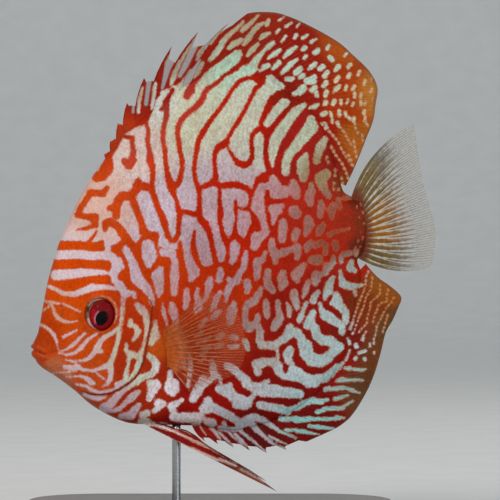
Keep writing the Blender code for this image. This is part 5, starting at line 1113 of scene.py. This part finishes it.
def scaleRows(tree, place):
    # Diamond rows of overlapping scales, 2 mm apart: the height of each, and the painted shade where it dips under the
    # next scale
    pitch, tilt = scales["pitch"] * mm, math.radians(scales["tilt"])
    bent = [combine(tree, combine(tree, noise(tree, place, rate), 0.5, "SUBTRACT"), 1.1, "MULTIPLY") for rate in (310.0, 380.0)]
    split = addNode(tree, "ShaderNodeSeparateXYZ", {0: place})
    x, z = split.outputs[0], split.outputs[2]
    along = combine(tree, combine(tree, x, math.cos(tilt) / pitch, "MULTIPLY"),
                 combine(tree, z, math.sin(tilt) / pitch, "MULTIPLY"))
    along = combine(tree, along, bent[0])
    across = combine(tree, combine(tree, x, -math.sin(tilt) / pitch, "MULTIPLY"),
                  combine(tree, z, math.cos(tilt) / pitch, "MULTIPLY"))
    across = combine(tree, across, bent[1])
    a = addNode(tree, "ShaderNodeMath", {0: combine(tree, along, across)}, operation="FRACT").outputs[0]
    b = addNode(tree, "ShaderNodeMath", {0: combine(tree, along, across, "SUBTRACT")}, operation="FRACT").outputs[0]
    rear = combine(tree, combine(tree, 1.0, a, "SUBTRACT"), combine(tree, 1.0, b, "SUBTRACT"), "MINIMUM")
    lip = remap(tree, rear, 0.0, 0.16)
    height = combine(tree, lip, remap(tree, combine(tree, a, b), 0.0, 2.0, 0.35, 1.0), "MULTIPLY")
    pocket = combine(tree, 1.0, remap(tree, rear, 0.02, 0.3), "SUBTRACT")
    return height, pocket


# Fish skin: wet-looking scales in a satin varnish, pale markings edged by the scale rows
skinLook = {
    "jag": 1.1,              # how far the scales push the markings' edges, in photo pixels
    "edge": 0.9,             # softness of those edges
    "halo": "B85C30",        # colour of the thin margin between a pale mark and the ground
    "blotch": "DCB4A4",      # warm cloudiness of the pale scales
    "gillSlitShade": "6E2612",        # painted shade of the gill slit, a dark line along the gill cover's rear edge
    "pocket": 0.1,           # how much painted shade darkens a scale's rear edge, where it dips under the next
    "roughness": (0.26, 0.38),
    "coat": 0.04,
    "gloss": 0.06,
    "bump": 0.3,
}


def markedColour(tree, place, scaly):
    # Warm ground and pale markings with their own small variations
    jag = combine(tree, combine(tree, noise(tree, place, 950.0, 1.0), 0.5, "SUBTRACT"), 2 * skinLook["jag"], "MULTIPLY")
    height, pocket = scaleRows(tree, place)
    step = combine(tree, combine(tree, combine(tree, height, 0.5, "SUBTRACT"), scaly, "MULTIPLY"), 0.9, "MULTIPLY")
    mark = combine(tree, combine(tree, attribute(tree, "mark"), jag), step)
    share = remap(tree, mark, -skinLook["edge"], skinLook["edge"])
    patch = remap(tree, noise(tree, place, 110.0, 3.0), 0.3, 0.7, 0.86, 1.12, "LINEAR")
    speck = remap(tree, noise(tree, place, 1300.0, 2.0), 0.3, 0.7, 0.8, 1.16, "LINEAR")
    tone = combine(tree, patch, speck, "MULTIPLY")
    grey = addNode(tree, "ShaderNodeCombineColor", {0: tone, 1: tone, 2: tone}).outputs[0]
    warm = mixColours(tree, 1.0, attribute(tree, "warm", "Color"), grey, "MULTIPLY")
    pale = mixColours(tree, 0.7, attribute(tree, "pale", "Color"), grey, "MULTIPLY")
    drawn = addNode(tree, "ShaderNodeMapping", {"Vector": place, "Scale": (1.0, 1.0, 0.6)}).outputs[0]
    blotch = remap(tree, noise(tree, drawn, 900.0, 2.0, 0.6), 0.4, 0.66, 0.0, 0.5)
    blotch = combine(tree, blotch, remap(tree, scaly, 0.0, 1.0, 0.35, 1.0), "MULTIPLY")
    pale = mixColours(tree, blotch, pale, srgb(skinLook["blotch"]), "MULTIPLY")
    colour = mixColours(tree, share, warm, pale)
    halo = combine(tree, combine(tree, share, combine(tree, 1.0, share, "SUBTRACT"), "MULTIPLY"), 1.8, "MULTIPLY")
    colour = mixColours(tree, halo, colour, srgb(skinLook["halo"]))
    # painted shade of the gill slit: a dark line along the gill cover's rear edge
    gillSlitShade = addNode(tree, "ShaderNodeMath", {0: attribute(tree, "gillSlitShade")}, operation="ABSOLUTE").outputs[0]
    gillSlitShade = combine(tree, remap(tree, gillSlitShade, 0.2, 1.3, 0.8, 0.0), attribute(tree, "gillSlitShadeNear"), "MULTIPLY")
    colour = mixColours(tree, gillSlitShade, colour, srgb(skinLook["gillSlitShade"]))
    # painted shade at each scale's rear edge, where the surface is scaly
    dark = combine(tree, combine(tree, pocket, scaly, "MULTIPLY"), skinLook["pocket"], "MULTIPLY")
    colour = mixColours(tree, dark, colour, srgb("5A3020"), "MULTIPLY")
    return colour, height, share


def skinMaterial():
    material, tree, shader = newMaterial("fish_skin_satin")
    place = addNode(tree, "ShaderNodeTexCoord").outputs["Object"]
    scaly = attribute(tree, "scaly")
    colour, height, share = markedColour(tree, place, scaly)
    tree.links.new(colour, shader.inputs["Base Color"])
    tree.links.new(remap(tree, noise(tree, place, 300.0, 3.0), 0.3, 0.7, *skinLook["roughness"], "LINEAR"),
                   shader.inputs["Roughness"])
    shader.inputs["Coat Weight"].default_value = skinLook["coat"]
    shader.inputs["Coat Roughness"].default_value = 0.12
    shader.inputs["IOR"].default_value = 1.4
    shader.inputs["Specular IOR Level"].default_value = skinLook["gloss"]
    fine = combine(tree, noise(tree, place, 2200.0, 2.0), 0.25, "MULTIPLY")
    raised = combine(tree, combine(tree, height, scaly, "MULTIPLY"), fine)
    bump = addNode(tree, "ShaderNodeBump", {"Height": raised, "Distance": 0.00022, "Strength": skinLook["bump"]})
    tree.links.new(bump.outputs[0], shader.inputs["Normal"])
    return material


# Spined fins: the same skin stretched over rays, a little see-through at the margin
finLook = {"marginAlpha": 0.82, "bump": 0.4, "web": "8E7C7A", "margin": "6A4E30"}


def finMaterial():
    material, tree, shader = newMaterial("ray_fin_satin")
    place = addNode(tree, "ShaderNodeTexCoord").outputs["Object"]
    row, crest = attribute(tree, "row"), attribute(tree, "crest")
    scaly = remap(tree, row, 0.1, 0.4, 1.0, 0.0)
    colour, height, share = markedColour(tree, place, scaly)
    lines = remap(tree, crest, 0.2, 0.9, 0.0, 0.3)
    lines = combine(tree, lines, remap(tree, row, 0.3, 1.0, 0.2, 1.0), "MULTIPLY")
    colour = mixColours(tree, lines, colour, srgb("7A2A08"))
    tree.links.new(remap(tree, noise(tree, place, 300.0, 3.0), 0.3, 0.7, 0.32, 0.48, "LINEAR"),
                   shader.inputs["Roughness"])
    clear = attribute(tree, "clear")
    colour = mixColours(tree, combine(tree, clear, 0.75, "MULTIPLY"), colour, srgb(finLook["web"]))
    margin = combine(tree, remap(tree, row, 0.95, 0.985, 0.0, 0.4), remap(tree, attribute(tree, "ray"), 0.0, 0.6), "MULTIPLY")
    colour = mixColours(tree, margin, colour, srgb(finLook["margin"]))
    alpha = remap(tree, row, 0.93, 1.0, 1.0, finLook["marginAlpha"])
    alpha = combine(tree, alpha, remap(tree, clear, 0.0, 1.0, 1.0, 0.3), "MULTIPLY")
    tree.links.new(colour, shader.inputs["Base Color"])
    tree.links.new(alpha, shader.inputs["Alpha"])
    shader.inputs["Coat Weight"].default_value = skinLook["coat"]
    shader.inputs["Coat Roughness"].default_value = 0.15
    shader.inputs["Specular IOR Level"].default_value = skinLook["gloss"]
    raised = combine(tree, combine(tree, height, scaly, "MULTIPLY"), crest)
    bump = addNode(tree, "ShaderNodeBump", {"Height": raised, "Distance": 0.0002, "Strength": finLook["bump"]})
    tree.links.new(bump.outputs[0], shader.inputs["Normal"])
    return material


# Clear fins: thin membrane between coloured rays
clearLook = {
    "caudal": {"root": "66280C", "ray": "8C560C", "side": "6A5630", "tip": "8C8A84", "web": "BCB4A4",
               "rayAlpha": (1.0, 0.3), "webAlpha": (1.0, 0.17), "webRows": (0.08, 0.74)},
    "pectoral": {"root": "B85214", "ray": "B2521E", "side": "B2521E", "tip": "A65E42", "web": "C46A3C",
                 "rayAlpha": (0.95, 0.3), "webAlpha": (0.96, 0.06), "webRows": (0.06, 0.36)},
}


def clearFinMaterial(kind):
    look = clearLook[kind]
    material, tree, shader = newMaterial(kind + "_fin_membrane")
    place = addNode(tree, "ShaderNodeTexCoord").outputs["Object"]
    row, crest, ray = attribute(tree, "row"), attribute(tree, "crest"), attribute(tree, "ray")
    grain = noise(tree, place, 700.0, 3.0)
    line = remap(tree, combine(tree, crest, combine(tree, grain, 0.3, "MULTIPLY")), 0.25, 0.75)
    rayColour = srgb(look["ray"])
    if kind == "caudal":
        # broad soft bands on the rays that narrow outwards, wider at the fin's upper and lower edge
        wave = addNode(tree, "ShaderNodeMath", {0: combine(tree, ray, math.pi, "MULTIPLY")}, operation="COSINE").outputs[0]
        wave = addNode(tree, "ShaderNodeMath", {0: wave}, operation="ABSOLUTE").outputs[0]
        upper, lower = remap(tree, ray, 11.5, 14.0), remap(tree, ray, 3.0, 0.5)
        start = remap(tree, row, 0.05, 0.7, 0.35, 0.97, "LINEAR")
        start = combine(tree, start, combine(tree, upper, 0.42, "MULTIPLY"), "SUBTRACT")
        start = combine(tree, start, combine(tree, lower, 0.24, "MULTIPLY"), "SUBTRACT")
        start = combine(tree, start, combine(tree, combine(tree, grain, 0.5, "SUBTRACT"), 0.5, "MULTIPLY"))
        band = remap(tree, combine(tree, wave, start, "SUBTRACT"), -0.12, 0.14)
        band = combine(tree, band, remap(tree, row, 0.62, 0.86, 1.0, 0.0), "MULTIPLY")
        line = combine(tree, line, band, "MAXIMUM")
        middle = combine(tree, remap(tree, ray, 2.0, 5.0), remap(tree, ray, 11.5, 8.5), "MULTIPLY")
        rayColour = mixColours(tree, middle, srgb(look["side"]), rayColour)
    rayColour = mixColours(tree, remap(tree, row, 0.3, 0.85), rayColour, srgb(look["tip"]))
    rayColour = mixColours(tree, remap(tree, row, 0.04, 0.2), srgb(look["root"]), rayColour)
    webColour = mixColours(tree, remap(tree, row, 0.04, 0.22), srgb(look["root"]), srgb(look["web"]))
    colour = mixColours(tree, line, webColour, rayColour)
    tone = remap(tree, grain, 0.3, 0.7, 0.72, 1.2, "LINEAR")
    grey = addNode(tree, "ShaderNodeCombineColor", {0: tone, 1: tone, 2: tone}).outputs[0]
    tree.links.new(mixColours(tree, 1.0, colour, grey, "MULTIPLY"), shader.inputs["Base Color"])
    rayAlpha = remap(tree, row, 0.35, 1.0, *look["rayAlpha"])
    webAlpha = remap(tree, row, *look["webRows"], *look["webAlpha"])
    alpha = addNode(tree, "ShaderNodeMix", {0: line, 2: webAlpha, 3: rayAlpha}, data_type="FLOAT").outputs[0]
    tree.links.new(alpha, shader.inputs["Alpha"])
    shader.inputs["Roughness"].default_value = 0.4
    shader.inputs["Specular IOR Level"].default_value = 0.2
    bump = addNode(tree, "ShaderNodeBump", {"Height": crest, "Distance": 0.0002, "Strength": 0.4})
    tree.links.new(bump.outputs[0], shader.inputs["Normal"])
    return material


# Eyeball: painted iris under a clear dome
def eyeMaterial():
    material, tree, shader = newMaterial("iris_painted")
    place = addNode(tree, "ShaderNodeTexCoord").outputs["Object"]
    streaks = remap(tree, attribute(tree, "streak"), 0.0, 1.0, 0.82, 1.15, "LINEAR")
    fine = remap(tree, noise(tree, place, 2600.0, 3.0), 0.3, 0.7, 0.9, 1.1, "LINEAR")
    tone = combine(tree, streaks, fine, "MULTIPLY")
    grey = addNode(tree, "ShaderNodeCombineColor", {0: tone, 1: tone, 2: tone}).outputs[0]
    tree.links.new(mixColours(tree, 1.0, attribute(tree, "tint", "Color"), grey, "MULTIPLY"),
                   shader.inputs["Base Color"])
    shader.inputs["Roughness"].default_value = 0.6
    shader.inputs["Specular IOR Level"].default_value = 0.08
    bump = addNode(tree, "ShaderNodeBump", {"Height": attribute(tree, "streak"), "Distance": 0.0001, "Strength": 0.3})
    tree.links.new(bump.outputs[0], shader.inputs["Normal"])
    return material


# Cornea: clear glossy shell that only shows its highlights
def corneaMaterial():
    material, tree, shader = newMaterial("cornea_clear")
    place = addNode(tree, "ShaderNodeTexCoord").outputs["Object"]
    shader.inputs["Base Color"].default_value = srgb("F4F6F8")
    shader.inputs["Metallic"].default_value = 1.0
    tree.links.new(remap(tree, noise(tree, place, 400.0, 2.0), 0.3, 0.7, 0.05, 0.07, "LINEAR"),
                   shader.inputs["Roughness"])
    shader.inputs["IOR"].default_value = 1.38
    gloss = addNode(tree, "ShaderNodeFresnel", {"IOR": 1.38}).outputs[0]
    tree.links.new(combine(tree, gloss, 0.13, "MULTIPLY"), shader.inputs["Alpha"])
    return material


# Walnut: long brown grain under a satin varnish
def woodMaterial():
    material, tree, shader = newMaterial("walnut_varnished")
    place = addNode(tree, "ShaderNodeTexCoord").outputs["Object"]
    bent = addNode(tree, "ShaderNodeMapping", {"Vector": place, "Scale": (7.0, 60.0, 60.0)}).outputs[0]
    flow = noise(tree, bent, 1.6, 4.0, 0.6)
    fibre = noise(tree, addNode(tree, "ShaderNodeMapping", {"Vector": place, "Scale": (60.0, 1400.0, 1400.0)}).outputs[0],
                  1.0, 3.0, 0.6)
    rings = addNode(tree, "ShaderNodeMath", {0: combine(tree, flow, 22.0, "MULTIPLY")}, operation="SINE").outputs[0]
    rings = remap(tree, rings, -1.0, 1.0)
    colour = mixColours(tree, rings, srgb("2E1A10"), srgb("5A3520"))
    colour = mixColours(tree, remap(tree, fibre, 0.35, 0.65, 0.0, 0.55), colour, srgb("1E100A"))
    tree.links.new(colour, shader.inputs["Base Color"])
    tree.links.new(remap(tree, fibre, 0.3, 0.7, 0.42, 0.3, "LINEAR"), shader.inputs["Roughness"])
    shader.inputs["Coat Weight"].default_value = 0.5
    shader.inputs["Coat Roughness"].default_value = 0.18
    bump = addNode(tree, "ShaderNodeBump", {"Height": fibre, "Distance": 0.0001, "Strength": 0.25})
    tree.links.new(bump.outputs[0], shader.inputs["Normal"])
    return material


# Brushed steel: fine lines round the rod spread its highlights
def steelMaterial():
    material, tree, shader = newMaterial("steel_brushed")
    place = addNode(tree, "ShaderNodeTexCoord").outputs["Object"]
    lines = noise(tree, addNode(tree, "ShaderNodeMapping", {"Vector": place, "Scale": (150.0, 150.0, 9000.0)}).outputs[0],
                  1.0, 3.0, 0.6)
    tree.links.new(mixColours(tree, lines, srgb("8E9094"), srgb("C4C6C8")), shader.inputs["Base Color"])
    tree.links.new(remap(tree, lines, 0.3, 0.7, 0.22, 0.4, "LINEAR"), shader.inputs["Roughness"])
    shader.inputs["Metallic"].default_value = 1.0
    bump = addNode(tree, "ShaderNodeBump", {"Height": lines, "Distance": 0.00003, "Strength": 0.3})
    tree.links.new(bump.outputs[0], shader.inputs["Normal"])
    return material


# ---- eyes

iris = {"x": 102.5, "y": 315.2, "wide": 13.2, "high": 15.4}
pupil = {"x": 101.4, "y": 318.2, "wide": 5.9, "high": 7.6, "tilt": 24.0}
# Soft touches of paint: colour, start and end width, photo points
eyeTouches = (
    ("4A0408", (3.0, 2.4, 113.5, 306, 110.5, 302.4, 105, 300.6)),
    ("74030A", (6.0, 5.0, 108, 306, 111, 314, 110, 322)),
    ("A00A1C", (5.0, 4.0, 93.5, 311, 92.5, 317, 94.5, 323)),
    ("820812", (3.5, 3.0, 97, 326.5, 102, 328, 107, 325.5)),
    ("C98C94", (1.6, 0.7, 95.6, 322.2, 94.7, 318.4, 95.9, 314.4, 98.0, 311.8)),
)
# Paint round the eye's rim, each a colour, start and end width and photo points: painted shade at the upper left and
# left where the orbit's front shades it, a pale grey arc along the top, a painted reflection crescent of the cornea at
# the lower left, and the eyelid rim's own orange-brown at the right
rimColourShadeAndReflection = (
    ("3A3028", (3.2, 1.6, 87.4, 313, 88.6, 307, 91.6, 303.2, 97.4, 301.0)),
    ("B8B0A4", (1.5, 1.2, 88.2, 305.6, 92, 301.2, 97, 298.8, 103.4, 297.8, 110, 299.2, 114.6, 303.4)),
    ("8C6450", (2.6, 2.6, 87.0, 313, 87.2, 320)),
    ("D8C4CC", (2.4, 1.2, 88.2, 319.5, 89.8, 324.2, 93.2, 328.6, 98.6, 331.6, 104, 331.4)),
    ("C06844", (1.8, 1.6, 107, 330.2, 112.6, 325.4, 115.8, 319, 116.8, 311, 115.6, 304.6)),
)


def paintEye(spots):
    dx, dy = spots[:, 0] - iris["x"], spots[:, 1] - iris["y"]
    away = np.hypot(dx / iris["wide"], dy / iris["high"])
    lean = math.radians(pupil["tilt"])
    px, py = spots[:, 0] - pupil["x"], spots[:, 1] - pupil["y"]
    inPupil = np.hypot((px * math.cos(lean) + py * math.sin(lean)) / pupil["wide"],
                       (-px * math.sin(lean) + py * math.cos(lean)) / pupil["high"])
    colour = np.tile(np.array(srgb("780208")), (len(spots), 1))

    def lay(code, share):
        colour[:] = colour + (np.array(srgb(code)) - colour) * share[:, None]

    for code, stroke in eyeTouches:
        lay(code, 1 - smoothStep(-1.6, 1.4, lineDistance(spots, stroke)[0]))
    lay("3A0608", smoothStep(0.9, 1.0, away) * 0.6)
    lay("C07050", smoothStep(0.99, 1.04, away))
    # the rim's painted shade and painted reflection, with its own colours
    for code, stroke in rimColourShadeAndReflection:
        lay(code, (1 - smoothStep(-0.8, 0.9, lineDistance(spots, stroke)[0])) * smoothStep(0.97, 1.03, away))
    lay("050304", 1 - smoothStep(0.94, 1.04, inPupil))
    turn = np.arctan2(dy, dx)
    rng = np.random.default_rng(7)
    waves = [(rng.integers(18, 70), rng.uniform(0, 6.28)) for _ in range(9)]
    streak = sum(np.sin(turn * n + shift) for n, shift in waves) / len(waves)
    streak = 0.5 + streak * (away < 1) * smoothStep(1.0, 1.4, inPupil)
    return colour, streak, away, inPupil


def eyeDome(side, grown, rings, segments, reach=100.0):
    # Points of the eyeball's dome from its middle outwards, and the direction out of it
    here, out, back, up = flankFrame(eyeShape["x"], eyeShape["z"], side)
    middle = here + out * (eyeShape["proud"] - eyeShape["depth"])
    fall = np.radians(np.linspace(0, reach, rings))[:, None]
    turn = (np.arange(segments) * 2 * math.pi / segments)[None, :]
    wide, high = eyeShape["length"] + grown * 0.3, eyeShape["height"] + grown * 0.3
    points = (middle + out * ((eyeShape["depth"] + grown) * np.cos(fall + 0 * turn))[:, :, None]
              + (back * (wide * np.cos(turn))[:, :, None] + up * (high * np.sin(turn))[:, :, None])
              * np.sin(fall + 0 * turn)[:, :, None])
    return points.reshape(-1, 3), out


def domeFaces(rings, segments):
    faces = []
    for ring in range(rings - 1):
        k = np.arange(segments)
        after = (k + 1) % segments
        faces.append(np.stack([ring * segments + k, (ring + 1) * segments + k,
                               (ring + 1) * segments + after, ring * segments + after], 1))
    return np.concatenate(faces)


def buildEye(label, side, ballMaterial, clearMaterial):
    rings, segments = 90, 200
    points, out = eyeDome(side, 0.0, rings, segments)
    spots = toPhoto(points)
    colour, streak, away, inPupil = paintEye(spots)
    hollow = 0.75 * (1 - smoothStep(0.5, 1.0, away)) - 0.5 * np.sqrt(np.clip(1 - inPupil**2, 0, 1))
    points = points - out * hollow[:, None]
    faces = domeFaces(rings, segments)
    faces = faces if side < 0 else faces[:, ::-1]
    ball = buildPiece("eyeball_" + label, points, faces, ballMaterial, ("eye_" + label,))
    addValues(ball, "tint", colour)
    addValues(ball, "streak", streak)
    rings, segments = 30, 96
    points, _ = eyeDome(side, 0.3, rings, segments, 72.0)
    faces = domeFaces(rings, segments)
    buildPiece("cornea_" + label, points, faces if side < 0 else faces[:, ::-1], clearMaterial)


# ---- stand

stand = {"length": 140.0, "width": 70.0, "height": 12.0, "corner": 30.0, "rodX": -12.6, "rodRadius": 1.6,
         "rodFoot": 6.0, "rodTop": 40.2}
# Edge profile of the base from its underside up: inset and height
standProfile = ((0.8, 0.0), (0.25, 0.25), (0.0, 0.9), (0.0, 7.6), (0.15, 7.9), (0.9, 8.2), (1.0, 8.6), (1.0, 9.6),
                (1.12, 10.5), (1.5, 11.3), (2.1, 11.8), (2.9, 12.0))


def buildStand(wood, steel):
    halfX, halfY = stand["length"] / 2 - stand["corner"], stand["width"] / 2 - stand["corner"]
    loop = []
    for corner in range(4):
        for k in range(25):
            turn = math.radians(90 * corner + 90 * k / 25)
            loop.append((halfX * (1 if corner in (0, 3) else -1), halfY * (1 if corner < 2 else -1),
                         math.cos(turn), math.sin(turn)))
        ahead = corner in (0, 2)
        for k in range(0 if not ahead else 1, 8 if ahead else 0):
            x = halfX * (1 - 2 * k / 8) * (1 if corner == 0 else -1)
            loop.append((x, halfY * (1 if corner < 2 else -1), 0.0, 1.0 if corner == 0 else -1.0))
    loop = np.array(loop)
    rings = [np.stack([loop[:, 0] + loop[:, 2] * (stand["corner"] - inset),
                       loop[:, 1] + loop[:, 3] * (stand["corner"] - inset),
                       np.full(len(loop), level)], 1) for inset, level in standProfile]
    rings = [rings[0] * (0.97, 0.97, 1.0), *rings, rings[-1] * (0.97, 0.97, 1.0)]
    points = np.concatenate(rings)
    count = len(loop)
    walls = domeFaces(len(rings), count)[:, ::-1]
    k = np.arange(count // 2 - 1)            # each flat side is closed by strips from one long side to the other
    cap = np.stack([k, k + 1, count - 2 - k, count - 1 - k], 1)
    faces = np.concatenate([walls, cap[:, ::-1], cap + (len(rings) - 1) * count])
    buildPiece("stand_plinth", points, turnOut(points, faces), wood, ("stand_base",), points[:, :2])
    turns = np.arange(48) * 2 * math.pi / 48
    shape = [(0.05, stand["rodFoot"]), (1.0, stand["rodFoot"]), (1.0, stand["height"])]
    shape += [(1.0, level) for level in np.linspace(stand["height"] + 2, stand["rodTop"], 14)]
    shape += [(0.05, stand["rodTop"])]
    points = np.concatenate([np.stack([stand["rodX"] + stand["rodRadius"] * r * np.cos(turns),
                                       stand["rodRadius"] * r * np.sin(turns), np.full(48, level)], 1)
                             for r, level in shape])
    faces = domeFaces(len(shape), 48)
    flat = np.stack([np.tile(turns * 2, len(shape)), points[:, 2]], 1)
    buildPiece("stand_pin", points, turnOut(points, faces), steel, ("stand_rod",), flat)


# ---- the whole model

def buildAll():
    skin = buildSkin(skinMaterial())
    spots = toPhoto(np.array([v.co for v in skin.data.vertices]) / mm)
    addValues(skin, "scaly", smoothStep(92, 150, spots[:, 0]))
    fins = finMaterial()
    unpairedFin("dorsal", dorsal, fins)
    unpairedFin("anal", anal, fins)
    unpairedFin("caudal", caudal, clearFinMaterial("caudal"))
    clear = clearFinMaterial("pectoral")
    ball, cornea = eyeMaterial(), corneaMaterial()
    for label, side in (("left", -1), ("right", 1)):
        buildEye(label, side, ball, cornea)
        pectoralFin("pectoral_" + label, side, clear)
        pelvicFin("pelvic_" + label, side, pelvic[label], fins)
    buildStand(woodMaterial(), steelMaterial())


buildAll()


# ---- studio

studio = {
    "floor": "DCDEDE", "lens": 230.4, "sensor": 36.0,
    "sweep": (-6.0, 2.3, 1.0, 5.0, 7.0),     # paper in metres: front end, foot and radius of the bend, top, half width
    # name, place in metres, size, watts, colour
    "lights": (
        ("key", (-0.55, -1.0, 1.15), 0.9, 14.5, "FFF8F0"),
        ("fill", (0.9, -1.0, 0.45), 1.1, 6.0, "F2F6FF"),
        ("rim", (0.35, 0.7, 1.0), 0.6, 2.5, "FFFFFF"),
        ("backdrop", (0.0, 1.9, 2.4), 1.2, 12.0, "FFFFFF"),
    ),
    "world": ("E8ECEE", 0.32),
}


def buildStudio():
    front, foot, bend, top, half = studio["sweep"]
    rows = [(front, 0.0)] + [(foot + bend * math.sin(a), bend - bend * math.cos(a))
                             for a in np.radians(np.linspace(0, 90, 24))] + [(foot + bend, top)]
    points = [(x, y, z) for y, z in rows for x in (-half, half)]
    faces = [(2 * k, 2 * k + 1, 2 * k + 3, 2 * k + 2) for k in range(len(rows) - 1)]
    mesh = bpy.data.meshes.new("studio_floor")
    mesh.from_pydata(points, [], faces)
    mesh.shade_smooth()
    material, tree, shader = newMaterial("paper_backdrop")
    place = addNode(tree, "ShaderNodeTexCoord").outputs["Object"]
    tone = remap(tree, noise(tree, place, 40.0, 3.0), 0.3, 0.7, 0.0, 1.0)
    tree.links.new(mixColours(tree, tone, srgb(studio["floor"]), srgb("D8DADA")), shader.inputs["Base Color"])
    shader.inputs["Roughness"].default_value = 0.85
    mesh.materials.append(material)
    floor = bpy.data.objects.new("studio_floor", mesh)
    scene.collection.objects.link(floor)
    target = Vector((0.0, 0.0, 0.1))
    for name, place, size, watts, code in studio["lights"]:
        lamp = bpy.data.lights.new(name, "AREA")
        lamp.shape, lamp.size, lamp.energy, lamp.color = "DISK", size, watts, srgb(code)[:3]
        light = bpy.data.objects.new(name, lamp)
        light.location = place
        aim = Vector((0.0, 3.3, 0.6)) if name == "backdrop" else target
        light.rotation_euler = (aim - Vector(place)).to_track_quat("-Z", "Y").to_euler()
        scene.collection.objects.link(light)
    world = bpy.data.worlds.new("studio")
    world.use_nodes = True
    back = world.node_tree.nodes["Background"]
    back.inputs[0].default_value, back.inputs[1].default_value = srgb(studio["world"][0]), studio["world"][1]
    scene.world = world
    lens = bpy.data.cameras.new("camera")
    lens.lens, lens.sensor_width, lens.clip_end = studio["lens"], studio["sensor"], 20.0
    camera = bpy.data.objects.new("camera", lens)
    camera.location = (view["centre"][0] * mm, -view["distance"] * mm, view["centre"][1] * mm)
    camera.rotation_euler = (math.pi / 2, 0, 0)
    scene.collection.objects.link(camera)
    scene.camera = camera
    scene.view_settings.view_transform = "Standard"


buildStudio()
